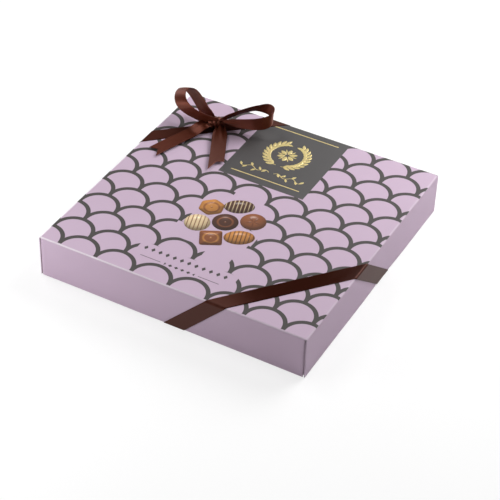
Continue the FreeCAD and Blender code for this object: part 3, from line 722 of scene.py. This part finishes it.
front_patch, front_length = band_over_lid(
    [(-13.3, -TUCK_END), (-3.8, -LID_END), (29.6, -LID_BEND), (LID_BEND, -14.7), (LID_END, 25.8),
     (TUCK_END, 37.3)],
    [(3.9, -TUCK_END), (13.2, -LID_END), (46.0, -LID_BEND), (LID_BEND, -34.6), (LID_END, 6.7),
     (TUCK_END, 18.4)])
front_ribbon = add_ribbon("front_corner_band", front_patch, BAND_SATIN, "front_corner_ribbon", 1.0)
back_patch, back_length = band_over_lid(
    [(-TUCK_END, -13.2), (-LID_END, -3.8), (-LID_BEND, 28.9), (-64.6, 72.1), (-20.1, LID_BEND),
     (20.7, LID_END), (32.3, TUCK_END)],
    [(-TUCK_END, 4.0), (-LID_END, 13.4), (-LID_BEND, 46.1), (-72.8, 80.6), (-39.0, LID_BEND),
     (1.8, LID_END), (13.4, TUCK_END)])
back_patch["grid"] = back_patch["grid"][:, ::-1]
back_patch["cloth"] = back_patch["cloth"][:, ::-1]
back_ribbon = add_ribbon("back_corner_band", back_patch, BAND_SATIN, "back_corner_ribbon", 1.0)

# The most that the sine of a turn times the squared sine of half of it comes to.
LOOP_CREST = 3.0 * np.sqrt(3.0) / 8.0


def bow_loop(reach, spread, parting, near, midway, far, held):
    """A bow's loop: out from the knot and back on one closed turn, with the strands parted at the knot.

    Out goes as the squared sine of half the turn and swing as the sine times that; the ruling line that the
    ribbon's width follows bends from near through midway to far, and past the share held it stays. Close to
    the knot the parting fades and the ribbon is drawn in and pleated; all along it is cupped a little."""
    turn = np.linspace(0.0, 2.0 * np.pi, 141)
    out = 0.05 + 0.95 * np.sin(turn / 2) ** 2
    swing = np.sin(turn) * np.sin(turn / 2) ** 2 / LOOP_CREST
    parted = np.cos(turn / 2) * (0.2 + 0.8 * eased((out - 0.05) / 0.2))
    middle = KNOT + np.outer(out, reach) - np.outer(swing, spread) - np.outer(parted, parting)
    share = np.minimum(turn / (2.0 * np.pi), held)[:, None]
    ruling = unit((1.0 - share) ** 2 * near + 2.0 * share * (1.0 - share) * midway + share ** 2 * far)
    heading = unit(np.gradient(middle, axis=0))
    facing = np.cross(heading, ruling)
    slant = np.linalg.norm(facing, axis=1)
    width = RIBBON_WIDTH * (0.55 + 0.45 * eased(out / 0.22)) / np.maximum(slant, 0.75)
    across = np.linspace(-0.5, 0.5, 19)
    drawn = 1.0 - eased(out / 0.45)
    fold = drawn[:, None] * 0.7 * np.cos(3.0 * np.pi * across + 0.4) + 0.35 * (4.0 * across ** 2 - 0.4)
    grid = (middle[:, None, :] + (width[:, None] * across)[..., None] * ruling[:, None, :]
            + fold[..., None] * unit(facing)[:, None, :])
    run = run_along(middle)
    return patch(grid, cloth=together(across + 0.5, run[:, None] / RIBBON_WIDTH)), run[-1]


def bow_tail(start, bend, tip, rest, hump, pinch, notch, skew, pleat):
    """A bow's tail: a strip that leaves start toward bend and comes from there to tip, cut in a V.

    Its plan is a square-law curve of the three points, its height falls from start to rest on the lid.
    The end is cut back most in the middle of the width, by notch, and along one edge by skew, as shares of
    the length. Height falls as the square of the way left, over a hump; by the knot the strip is drawn in to
    the share pinch of its width, in pleats of height pleat."""
    way = np.linspace(0.0, 1.0, 75)[:, None]
    across = np.linspace(0.5, -0.5, 21)[None, :]
    reach = way * (1.0 - notch * (1.0 - np.abs(2.0 * across)) - skew * (across + 0.5))
    left = 1.0 - reach
    (plan_x, slope_x), (plan_y, slope_y) = [
        (left ** 2 * first + 2.0 * left * reach * second + reach ** 2 * third,
         2.0 * left * (second - first) + 2.0 * reach * (third - second))
        for first, second, third in zip(start, bend, tip)]
    size = np.hypot(slope_x, slope_y)
    width = RIBBON_WIDTH * (pinch + (1.0 - pinch) * eased(reach / 0.32))
    x = plan_x - slope_y / size * width * across
    y = plan_y + slope_x / size * width * across
    z = rest + (start[2] - rest) * left ** 2 + hump * np.sin(np.pi * np.clip(reach / 0.5, 0.0, 1.0)) ** 2
    drawn = 1.0 - eased(reach / 0.55)
    z = z + pleat * drawn * np.cos(3.0 * np.pi * across) + 0.25 * (4.0 * across ** 2 - 0.33)
    length = np.hypot(bend[0] - start[0], bend[1] - start[1]) + np.hypot(tip[0] - bend[0], tip[1] - bend[1])
    return patch(together(x, y, z), cloth=together(across + 0.5, reach * length / RIBBON_WIDTH)), length


def bow_knot():
    """The knot: a band round the bow's waist, a barrel with gathered ridges round it, wrung a little.

    Its thickness falls to the ends as on an ellipse, and the ridges are a cosine along it that shifts with
    the sine of the turn."""
    along = np.linspace(-KNOT_HALF, KNOT_HALF, 37)[:, None]
    turn = full_turn(64)
    body = np.sqrt(1.0 - (0.82 * along / KNOT_HALF) ** 2)
    wrung = np.cos(2.0 * np.pi * along / 3.4 + 0.9 * np.sin(turn) + 0.6)
    ridge = 1.0 + 0.07 * wrung * (1.0 - (along / 6.3) ** 2)
    side = KNOT_SIDE * body * ridge * np.cos(turn)
    rise = KNOT_RISE * body * ridge * np.sin(turn)
    x = KNOT[0] + along * np.cos(KNOT_YAW) - side * np.sin(KNOT_YAW)
    y = KNOT[1] + along * np.sin(KNOT_YAW) + side * np.cos(KNOT_YAW)
    cloth = together((along + KNOT_HALF) / (2.0 * KNOT_HALF), turn * KNOT_RISE / RIBBON_WIDTH)
    return patch(together(x, y, KNOT[2] + rise)[::-1], wrap=True, cloth=cloth[::-1])


left_patch, left_length = bow_loop(
    reach=aimed(37.2, 176.8, 24.9), spread=aimed(8.0, 93.2, 17.0), parting=aimed(6.0, 161.9, 14.7),
    near=aimed(1.1, 18.7, 32.0), midway=aimed(1.0, -31.4, 11.4), far=aimed(0.9, -2.8, 37.8), held=1.0)
right_patch, right_length = bow_loop(
    reach=aimed(47.4, 21.2, 16.0), spread=aimed(8.7, 124.2, 5.2), parting=aimed(2.5, -176.9, 10.6),
    near=aimed(0.8, -99.9, 41.2), midway=aimed(0.8, 96.0, 33.6), far=aimed(1.1, -59.7, 10.5), held=0.665)
left_tail_patch, left_tail_length = bow_tail(
    start=(KNOT[0], KNOT[1], 40.3), bend=(-81.0, 62.0), tip=(-93.2, 23.0), rest=37.0, hump=2.8,
    pinch=0.5, notch=0.065, skew=-0.045, pleat=0.6)
right_tail_patch, right_tail_length = bow_tail(
    start=(-63.5, 75.0, 40.3), bend=(-56.5, 61.0), tip=(-39.5, 24.8), rest=37.9, hump=0.0,
    pinch=0.6, notch=0.07, skew=0.14, pleat=1.0)
# The loops, tails and knot take the satin copies painted lighter for the light that falls on them.
left_loop = add_ribbon("left_bow_loop", left_patch, LOOP_SATIN_PAINTED_LIGHTER, "bow_left_loop", 0.0)
right_loop = add_ribbon("right_bow_loop", right_patch, LOOP_SATIN_PAINTED_LIGHTER, "bow_right_loop", 0.0)
left_tail = add_ribbon("left_bow_tail", left_tail_patch, BOW_SATIN_PAINTED_LIGHTER, "bow_left_tail", 0.0)
right_tail = add_ribbon("right_bow_tail", right_tail_patch, BOW_SATIN_PAINTED_LIGHTER, "bow_right_tail", 0.0)
knot = add_ribbon("wrapped_knot", bow_knot(), BOW_SATIN_PAINTED_LIGHTER, "bow_knot", -1.0)


def leaf(root, angle, length, width):
    """A pointed leaf pressed on the lid: its width swells as a sine along its length, over a raised rib."""
    along = np.linspace(0.0, 1.0, 11)[:, None]
    across = np.linspace(0.5, -0.5, 7)[None, :]
    side = width * np.sin(np.pi * along) ** 0.8 * across
    turn = np.radians(angle)
    x = root[0] + length * along * np.cos(turn) - side * np.sin(turn)
    y = root[1] + length * along * np.sin(turn) + side * np.cos(turn)
    return patch(over_lid(x, y, PRINT_LIFT + 0.05 * (1.0 - 4.0 * across ** 2)))


def line(x, y, width):
    """A pressed line of even width: a row of plan points moved to both sides, square to its slope."""
    slope_x, slope_y = np.gradient(x), np.gradient(y)
    size = np.hypot(slope_x, slope_y)
    across = np.linspace(0.5, -0.5, 3)[None, :] * width
    line_x = x[:, None] - (slope_y / size)[:, None] * across
    line_y = y[:, None] + (slope_x / size)[:, None] * across
    return patch(over_lid(line_x, line_y, PRINT_LIFT))


def label_gilding():
    """The label's gilding: a wreath of leaves round a six-petal flower, and two sprigs, between two rules."""
    wreath_leaf, petal, stamen, sprig_leaf = (6.4, 2.5), (6.6, 3.4), (4.6, 1.1), (4.4, 1.9)
    stem_width, rule_width = 0.5, 0.9
    shapes = []
    for side in (-1.0, 1.0):
        bow = np.radians(90.0 - side * np.linspace(24.0, 172.0, 60))
        stem = WREATH_MIDDLE + WREATH_RADIUS * together(np.cos(bow), np.sin(bow))
        shapes.append(line(stem[:, 0], stem[:, 1], stem_width))
        for angle in 90.0 - side * (164.0 - 13.2 * np.arange(11)):
            root = WREATH_MIDDLE + WREATH_RADIUS * toward(angle)
            for lean in (30.0, -30.0):
                shapes.append(leaf(root, angle + side * 90.0 + lean, *wreath_leaf))
    for angle in 60.0 * np.arange(6) + 30.0:
        out = toward(angle)
        shapes.append(leaf(WREATH_MIDDLE + 1.4 * out, angle, *petal))
        shapes.append(leaf(WREATH_MIDDLE + 3.6 * np.array([-out[1], out[0]]), angle + 90.0, *stamen))
    for height in RULE_LINES:
        shapes.append(line(np.linspace(*RULE_ENDS, 60), np.full(60, height), rule_width))
    for side in (-1.0, 1.0):
        run = np.linspace(0.0, 25.0, 50)
        wave = SPRIG_LINE + 1.6 * np.sin(run * 0.5)
        shapes.append(line(WREATH_MIDDLE[0] + side * (2.0 + run), wave, stem_width))
        for step in range(6):
            place = 3.0 + 4.0 * step
            root = (WREATH_MIDDLE[0] + side * (2.0 + place), SPRIG_LINE + 1.6 * np.sin(place * 0.5))
            lean = 55.0 if step % 2 else -55.0
            shapes.append(leaf(root, (0.0 if side > 0 else 180.0) + side * lean, *sprig_leaf))
    return shapes


gilded = add_piece("label_gilding", "lid", label_gilding(), [GILDING])
thicken(gilded, GILDING_FILM, 1.0)


def rounded_outline(angle, sides, roundness, turn=0.0):
    """Distance to the edge of a rounded polygon: the sides' distances joined by a power mean."""
    facing = np.radians(turn) + 2.0 * np.pi * np.arange(sides) / sides
    share = np.maximum(np.cos(angle[..., None] - facing), 0.0)
    return np.sum(share ** roundness, axis=-1) ** (-1.0 / roundness)


def printed_sweet(middle, size, outline, colour, drizzle, pattern):
    """A sweet printed flat: a crowned height over the outline, lit from the upper left.

    Height falls from the middle to the edge as a power of the distance; a pattern of plan places adds ribs.
    Light is the share of the slope that faces the lamp, plus a small bright spot."""
    share = np.linspace(0.0, 1.0, 30)[:, None] ** 0.8
    angle = full_turn(72)
    radius = size * outline(angle) * share
    x, y = radius * np.cos(angle), radius * np.sin(angle)

    def height(across, along):
        edge = size * outline(np.arctan2(along, across))
        crown = np.clip(1.0 - (np.hypot(across, along) / edge) ** 3.2, 0.0, 1.0) ** 0.6
        return size * 0.75 * crown + 0.35 * pattern(across / size, along / size)

    step = 0.05
    fall_x, fall_y = height(x - step, y) - height(x + step, y), height(x, y - step) - height(x, y + step)
    facing = unit(together(fall_x, fall_y, 2.0 * step))
    lit = np.clip(facing @ unit(np.array([-0.5, 0.62, 0.75])), 0.0, 1.0)
    gleam = np.clip(facing @ unit(np.array([-0.22, 0.42, 0.95])), 0.0, 1.0) ** 60
    rib = np.clip(pattern(x / size, y / size), 0.0, 1.0)[..., None]
    body = np.array(colour[:3]) * (1.0 - rib) + np.array(drizzle[:3]) * rib
    paint = body * (0.32 + 0.85 * lit[..., None]) + 0.35 * gleam[..., None]
    grid = over_lid(middle[0] + x, middle[1] + y, PRINT_LIFT)
    return patch(grid[::-1], wrap=True, paint=np.clip(paint, 0.0, 1.0)[::-1])


def zigzag(across, along):
    """Slanting drizzle lines: a clipped saw of a slanted distance."""
    return np.clip(1.5 - 9.0 * np.abs((across * 1.6 + along * 0.5) % 0.5 - 0.25) * 2.0, 0.0, 1.0)


def rings(across, along):
    """Ring ridges: a clipped cosine of the distance from the middle."""
    return np.clip(np.cos(11.0 * np.hypot(across, along)) * 1.4 - 0.5, 0.0, 1.0)


def star(across, along):
    """A low star: a clipped cosine of five times the angle that fades with the distance from the middle."""
    rays = np.clip(np.cos(5.0 * np.arctan2(along, across)) * 1.6 - 0.9, 0.0, 1.0)
    return rays * np.clip(1.6 - 2.4 * np.hypot(across, along), 0.0, 1.0)


def picture_sweets():
    """Six sweets printed in a ring of mixed shapes round a seventh."""
    milk, dark = ink(140, 82, 48), ink(74, 42, 30)
    ivory, caramel = ink(232, 208, 166), ink(198, 134, 66)

    def oval(angle):
        return 1.0 / np.sqrt(np.cos(angle - 0.5) ** 2 / 1.18 ** 2 + np.sin(angle - 0.5) ** 2 / 0.82 ** 2)

    def ball(angle):
        return 1.0 + 0.0 * angle

    def six_sided(angle):
        return 0.92 * rounded_outline(angle, 6, 14, 12.0)

    def four_sided(angle):
        return 0.86 * rounded_outline(angle, 4, 10, 28.0)

    shapes = [(ball, milk, dark, star), (oval, dark, ivory, zigzag), (six_sided, caramel, milk, rings),
              (ball, ivory, milk, zigzag), (four_sided, milk, caramel, rings), (oval, caramel, dark, zigzag)]
    printed = [printed_sweet(PICTURE_MIDDLE, MIDDLE_SWEET, ball, dark, milk, rings)]
    for place, (outline, colour, drizzle, pattern) in enumerate(shapes):
        spot = PICTURE_MIDDLE + RING_REACH * toward(60.0 * place + 30.0)
        printed.append(printed_sweet(spot, RING_SWEET, outline, colour, drizzle, pattern))
    return printed


printed = add_piece("printed_sweets", "lid", picture_sweets(), [PICTURE_PRINT], weld=True)
thicken(printed, PICTURE_FILM, 1.0)

CUP_MIDDLES = CUP_PITCH * (np.arange(CUP_COUNT) - (CUP_COUNT - 1) / 2)


def tray_cup(middle, foot):
    """One cell of the tray: a level square that rounds over a lip into a tapering round cup.

    Rings blend from the square to the lip, and the lip and the foot are quarter circles."""
    angle = full_turn(64)
    square = CUP_PITCH / 2 / np.maximum(np.abs(np.cos(angle)), np.abs(np.sin(angle)))
    mouth = foot + CUP_DRAFT
    bend = np.linspace(0.0, np.pi / 2, 6)
    lip_r = mouth + CUP_LIP - CUP_LIP * np.sin(bend)
    lip_z = TRAY_DECK - CUP_LIP + CUP_LIP * np.cos(bend)
    foot_r = foot - CUP_ROUND + CUP_ROUND * np.cos(bend)
    foot_z = CUP_FLOOR + CUP_ROUND - CUP_ROUND * np.sin(bend)
    radius = np.concatenate([lip_r, np.linspace(lip_r[-1], foot_r[0], 8)[1:-1], foot_r, [foot * 0.5, 0.0]])
    height = np.concatenate([lip_z, np.linspace(lip_z[-1], foot_z[0], 8)[1:-1], foot_z, [CUP_FLOOR] * 2])
    edge = np.linspace(0.0, 1.0, 4)[:-1][:, None]
    rows_r = np.concatenate([square * (1.0 - edge) + lip_r[0] * edge, radius[:, None] + 0.0 * angle])
    x, y = middle[0] + rows_r * np.cos(angle), middle[1] + rows_r * np.sin(angle)
    z = np.concatenate([np.full(3, TRAY_DECK), height])[:, None]
    return patch(together(x, y, z), wrap=True)


def tray_skirt():
    """The tray's margin and skirt: square rings growing out from the cells, over a rounded edge and down."""
    quarter = np.tan(np.linspace(-np.pi / 4, np.pi / 4, 17)[:-1])
    side = (CUP_MIDDLES[:, None] + CUP_PITCH / 2 * quarter).ravel()
    edge = CUP_PITCH * CUP_COUNT / 2
    full = np.full(side.shape, edge)
    x = np.concatenate([side, full, -side, -full])
    y = np.concatenate([-full, side, full, -side])
    bend = np.linspace(0.0, np.pi / 2, 6)
    out = np.concatenate([[edge], TRAY_HALF - TRAY_ROUND + TRAY_ROUND * np.sin(bend), np.full(6, TRAY_HALF)])
    height = np.concatenate([[TRAY_DECK], TRAY_DECK - TRAY_ROUND + TRAY_ROUND * np.cos(bend),
                             np.linspace(TRAY_DECK - TRAY_ROUND, TRAY_FOOT, 7)[1:]])
    grow = (out / edge)[:, None]
    return patch(together(grow * x, grow * y, height[:, None])[::-1], wrap=True)


def lobe_outline(angle, side, lift):
    """Distance to the edge of a heart: the farther of a square on its corner and two circles on its sides."""
    half = side / 2
    shift = half / np.sqrt(2.0)
    sides = []
    for turn in np.radians([45.0, 135.0, 225.0, 315.0]):
        facing = np.cos(angle - turn)
        sides.append(np.where(facing > 1e-6, (half + lift * np.sin(turn)) / np.maximum(facing, 1e-6), 1e3))
    square = np.min(sides, axis=0)
    circles = []
    for across in (-shift, shift):
        middle = np.array([across, shift + lift])
        ahead = np.cos(angle) * middle[0] + np.sin(angle) * middle[1]
        circles.append(ahead + np.sqrt(np.maximum(half ** 2 - middle @ middle + ahead ** 2, 0.0)))
    return np.maximum(square, np.maximum(circles[0], circles[1]))


def sweet_shell(middle, foot, outline, height, boxy, raised, pattern):
    """A moulded sweet: rings over an outline, from the middle of its foot out, up the side and to the crown.

    Ring size falls as a power of a cosine and height grows as a power of a sine; a small boxy power gives a
    steep side and a flat top. The top is raised by a pattern of plan places, in the second colour."""
    angle = full_turn(80)
    rise = (np.linspace(0.0, np.pi / 2, 30) ** 0.9 * (np.pi / 2) ** 0.1)[1:]
    ring = np.maximum(np.cos(rise), 0.0) ** boxy
    ring = np.concatenate([[0.0, 0.9], 0.965 + 0.035 * np.linspace(0.0, 1.0, 3), ring])[:, None]
    up = 0.06 + 0.94 * np.sin(rise) ** (boxy * 1.25)
    up = np.concatenate([[0.0, 0.0], np.linspace(0.0, 0.06, 3), up])[:, None]
    radius = outline(angle) * ring
    x, y = radius * np.cos(angle), radius * np.sin(angle)
    on_top = eased((up - 0.45) / 0.35)
    marked = pattern(x, y)
    z = foot + height * up + on_top * (raised * marked)
    paint = np.repeat((on_top * marked)[..., None], 3, axis=-1)
    return patch(together(middle[0] + x, middle[1] + y, z), wrap=True, paint=paint)


def swirl_shell(middle):
    """A piped swirl: a cone of eight lobes that twist as they rise to a drawn-out tip.

    Its size falls as a power of the height left, times a cosine of eight times the angle less the twist."""
    angle = full_turn(96)
    up = np.linspace(0.0, 1.0, 44)[:, None]
    body = 13.6 * (1.0 - up) ** 0.72 * (1.0 + 0.05 * np.sin(9.4 * up))
    lobes = 1.0 + 0.1 * np.cos(8.0 * (angle - 2.4 * up)) * (1.0 - up ** 4)
    radius = np.concatenate([0.0 * lobes[:1], 0.9 * body[:1] * lobes[:1], body * lobes])
    x, y = middle[0] + radius * np.cos(angle), middle[1] + radius * np.sin(angle)
    z = CUP_FLOOR + np.concatenate([np.zeros((2, 1)), 18.0 * up ** 0.9])
    return patch(together(x, y, z), wrap=True)


def drizzle_ridges(x, y):
    """Slanting drizzle over a dome: rounded ridges, the root of a clipped saw of a wavy slanted distance."""
    way = 0.8 * x + 0.6 * y + 0.8 * np.sin(0.5 * y)
    return np.clip(1.0 - np.abs(way % 5.2 - 2.6) / 0.85, 0.0, 1.0) ** 0.5


def chevrons(x, y):
    """Grooves in nested V shapes: a clipped saw of the distance across less that along."""
    return np.clip(1.0 - np.abs((x - 0.9 * np.abs(y)) % 4.4 - 2.2) / 0.5, 0.0, 1.0)


def slanted_ridges(x, y):
    """Straight ridges from corner to corner: the same saw of the sum of both distances."""
    return chevrons(0.7 * (x + y), 0.0 * x)


def level(x, y):
    """No relief."""
    return 0.0 * x * y


# Finishes of the sweets: colour, paler colour, second colour, roughness and coat.
CONFECTIONS = {
    "milk_chocolate": (ink(128, 74, 44), ink(142, 86, 54), ink(226, 200, 156), 0.22, 0.35),
    "cocoa_cream": (ink(140, 92, 60), ink(156, 106, 72), ink(226, 200, 156), 0.5, 0.0),
    "dark_chocolate": (ink(68, 40, 30), ink(80, 48, 36), ink(110, 70, 50), 0.2, 0.4),
    "bitter_chocolate": (ink(56, 34, 27), ink(66, 41, 32), ink(36, 22, 18), 0.2, 0.4),
    "caramel": (ink(190, 124, 60), ink(204, 140, 74), ink(120, 70, 34), 0.24, 0.35),
    "ivory_chocolate": (ink(232, 216, 184), ink(240, 226, 198), ink(120, 76, 50), 0.35, 0.1)}

# Kinds of sweet in the order of their cups: finish, and reach from the middle.
SWEETS = {"striped_dome": ("milk_chocolate", 15.5), "swirl_cone": ("cocoa_cream", 15.0),
          "layered_square": ("dark_chocolate", 15.61), "caramel_heart": ("caramel", 15.61),
          "dark_wedge": ("bitter_chocolate", 15.0)}

# Moulds: outline, height, boxy power, and height and pattern of the relief.
MOULDS = {
    "striped_dome": (lambda angle: 15.4 + 0.0 * angle, 16.5, 0.62, 0.45, drizzle_ridges),
    "layered_square": (lambda angle: 12.5 * rounded_outline(angle, 4, 12), SQUARE_HEIGHT, 0.16, 0.0, level),
    "ivory_slab": (lambda angle: 11.4 * rounded_outline(angle, 4, 12), 3.2, 0.2, 0.3, slanted_ridges),
    "caramel_heart": (lambda angle: lobe_outline(angle, 17.5, -3.2), 15.0, 0.36, 0.0, level),
    "dark_wedge": (lambda angle: 9.5 * rounded_outline(angle, 3, 7, 180.0), 15.6, 0.3, -0.5, chevrons)}


def add_tray():
    """The tray, and five kinds of sweet, five of each, in its cups row by row from the front left."""
    finishes = {slot: confection(slot, *look) for slot, look in CONFECTIONS.items()}
    kinds = list(SWEETS)
    counts = dict.fromkeys(kinds, 0)
    cups = []
    for row in range(CUP_COUNT):
        for column in range(CUP_COUNT):
            kind = kinds[(column + 2 * row) % len(kinds)]
            slot, reach = SWEETS[kind]
            counts[kind] += 1
            count = counts[kind]
            spot = (CUP_MIDDLES[column], CUP_MIDDLES[row])
            cups.append(tray_cup(spot, reach + CUP_CLEARANCE))
            if kind == "layered_square":
                slab = sweet_shell(spot, CUP_FLOOR + SQUARE_HEIGHT, *MOULDS["ivory_slab"])
                add_piece(f"ivory_slab_{count}", "tray", [slab],
                          [finishes["ivory_chocolate"]], [f"ivory_top_{count}"], weld=True)
            shell = swirl_shell(spot) if kind == "swirl_cone" else sweet_shell(spot, CUP_FLOOR, *MOULDS[kind])
            add_piece(f"moulded_{kind}_{count}", "tray", [shell], [finishes[slot]], [f"{kind}_{count}"],
                      weld=True)
    tray = add_piece("formed_tray", "tray", cups + [tray_skirt()], [FORMED_SHEET],
                     ["blister_tray"], weld=True)
    thicken(tray, TRAY_SHEET, -1.0)


add_tray()


def quilted_pad():
    """The paper pad: two faces that swell between pressed diamond lines and close along a crimped edge.

    The swell is a power of the product of two cosines, one for each slanting direction."""
    lines = np.linspace(-1.0, 1.0, 141)
    u, v = np.meshgrid(lines, lines)
    corner = 1.0 - 0.018 * (u * v) ** 12
    x, y = PAD_HALF * u * corner, PAD_HALF * v * corner
    first, second = (x + y) / QUILT_PITCH, (x - y) / QUILT_PITCH
    crown = np.sqrt(np.abs(np.cos(np.pi * first) * np.cos(np.pi * second)))
    edge = eased((1.0 - np.maximum(np.abs(u), np.abs(v))) / 0.03)
    half = (PAD_TOP - PAD_FOOT) / 2
    swell = edge * (0.12 + 0.86 * half * crown ** 0.8)
    middle = PAD_FOOT + half
    return [patch(together(x, y, middle + swell)), patch(together(x, y, middle - swell)[::-1])]


pad = add_piece("quilted_pad", "pad", quilted_pad(), [GLASSINE], ["cushion_pad"], weld=True)


# Lamps in metres and watts: name, place, the point that it faces, side and power.
LAMPS = [("key", (-0.55, 0.05, 1.05), (0.0, 0.0, 0.0), 0.4, 3.3),
         ("high", (0.28, 0.47, 0.53), (0.0, 0.0, 0.0), 0.45, 4.3),
         ("back", (0.15, 1.1, 0.6), (0.0, 0.0, 0.0), 0.9, 4.0),
         ("left", (-0.28, -0.34, 0.16), (-0.08, -0.11, 0.02), 0.25, 0.93),
         ("right", (0.38, 0.36, 0.2), (0.11, 0.1, 0.02), 0.3, 0.35),
         ("side", (-0.65, 0.3, 0.2), (-0.11, 0.02, 0.02), 0.4, 0.9)]
WORLD_LIGHT = 0.03

# The floor in metres, its colour where it is lit and where it is looked at, and its glow there.
FLOOR_HALF = 6.0
FLOOR_DEPTH = -0.0002
FLOOR_LIT = (0.85, 0.85, 0.85, 1.0)
FLOOR_SEEN = (0.3, 0.3, 0.3, 1.0)
FLOOR_GLOW = 0.74

# The camera: lens and film in millimetres, its right, up and back directions, and its place in metres.
CAMERA_LENS = 119.644
CAMERA_FILM = 36.0
CAMERA_RIGHT = (0.87433038, 0.48466101, 0.02549693)
CAMERA_UP = (-0.32340461, 0.54264116, 0.77520967)
CAMERA_BACK = (0.36187822, -0.68603518, 0.63118926)
CAMERA_PLACE = (0.4650439, -0.8702995, 0.7953828)


def pale_floor():
    """A pale floor that takes shadows and that the camera and mirror rays see as nearly white."""
    made = Finish("pale_floor", {"Roughness": 0.8, "Specular IOR Level": 0.1})
    rays = made.node("ShaderNodeLightPath").outputs
    mirrored = made.most(rays["Is Glossy Ray"], rays["Is Transmission Ray"])
    seen = made.most(rays["Is Camera Ray"], mirrored)
    made.set("Emission Color", (1.0, 1.0, 1.0, 1.0))
    made.set("Emission Strength", made.times(seen, FLOOR_GLOW))
    made.set("Base Color", made.mix(seen, FLOOR_LIT, FLOOR_SEEN))
    return made.material


def standing(name, data, right, up, back, place):
    """A lamp or camera at a place, turned by its three directions."""
    held = bpy.data.objects.new(name, data)
    turned = np.stack([right, up, back, place], axis=1)
    held.matrix_world = Matrix([*turned.tolist(), [0.0, 0.0, 0.0, 1.0]])
    bpy.context.scene.collection.objects.link(held)
    return held


def studio():
    """A wide pale floor, square lamps that face the box, a faint even light and the camera."""
    mesh = bpy.data.meshes.new("floor")
    corners = [(-1, -1), (1, -1), (1, 1), (-1, 1)]
    mesh.from_pydata([(FLOOR_HALF * x, FLOOR_HALF * y, FLOOR_DEPTH) for x, y in corners], [], [(0, 1, 2, 3)])
    floor = bpy.data.objects.new("floor", mesh)
    bpy.context.scene.collection.objects.link(floor)
    mesh.materials.append(pale_floor())
    for name, place, target, size, power in LAMPS:
        lamp = bpy.data.lights.new(name, "AREA")
        lamp.shape = "SQUARE"
        lamp.size = size
        lamp.energy = power
        back = unit(np.array(place) - np.array(target))
        right = unit(np.cross((0.0, 1.0, 0.02), back))
        standing(name, lamp, right, np.cross(back, right), back, place)
    world = bpy.data.worlds.new("studio")
    world.use_nodes = True
    sky = world.node_tree.nodes["Background"].inputs
    sky["Color"].default_value = (1.0, 1.0, 1.0, 1.0)
    sky["Strength"].default_value = WORLD_LIGHT
    bpy.context.scene.world = world
    camera = bpy.data.cameras.new("camera")
    camera.lens = CAMERA_LENS
    camera.sensor_width = CAMERA_FILM
    bpy.context.scene.camera = standing("camera", camera, CAMERA_RIGHT, CAMERA_UP, CAMERA_BACK, CAMERA_PLACE)
    bpy.context.scene.view_settings.view_transform = "Standard"


studio()
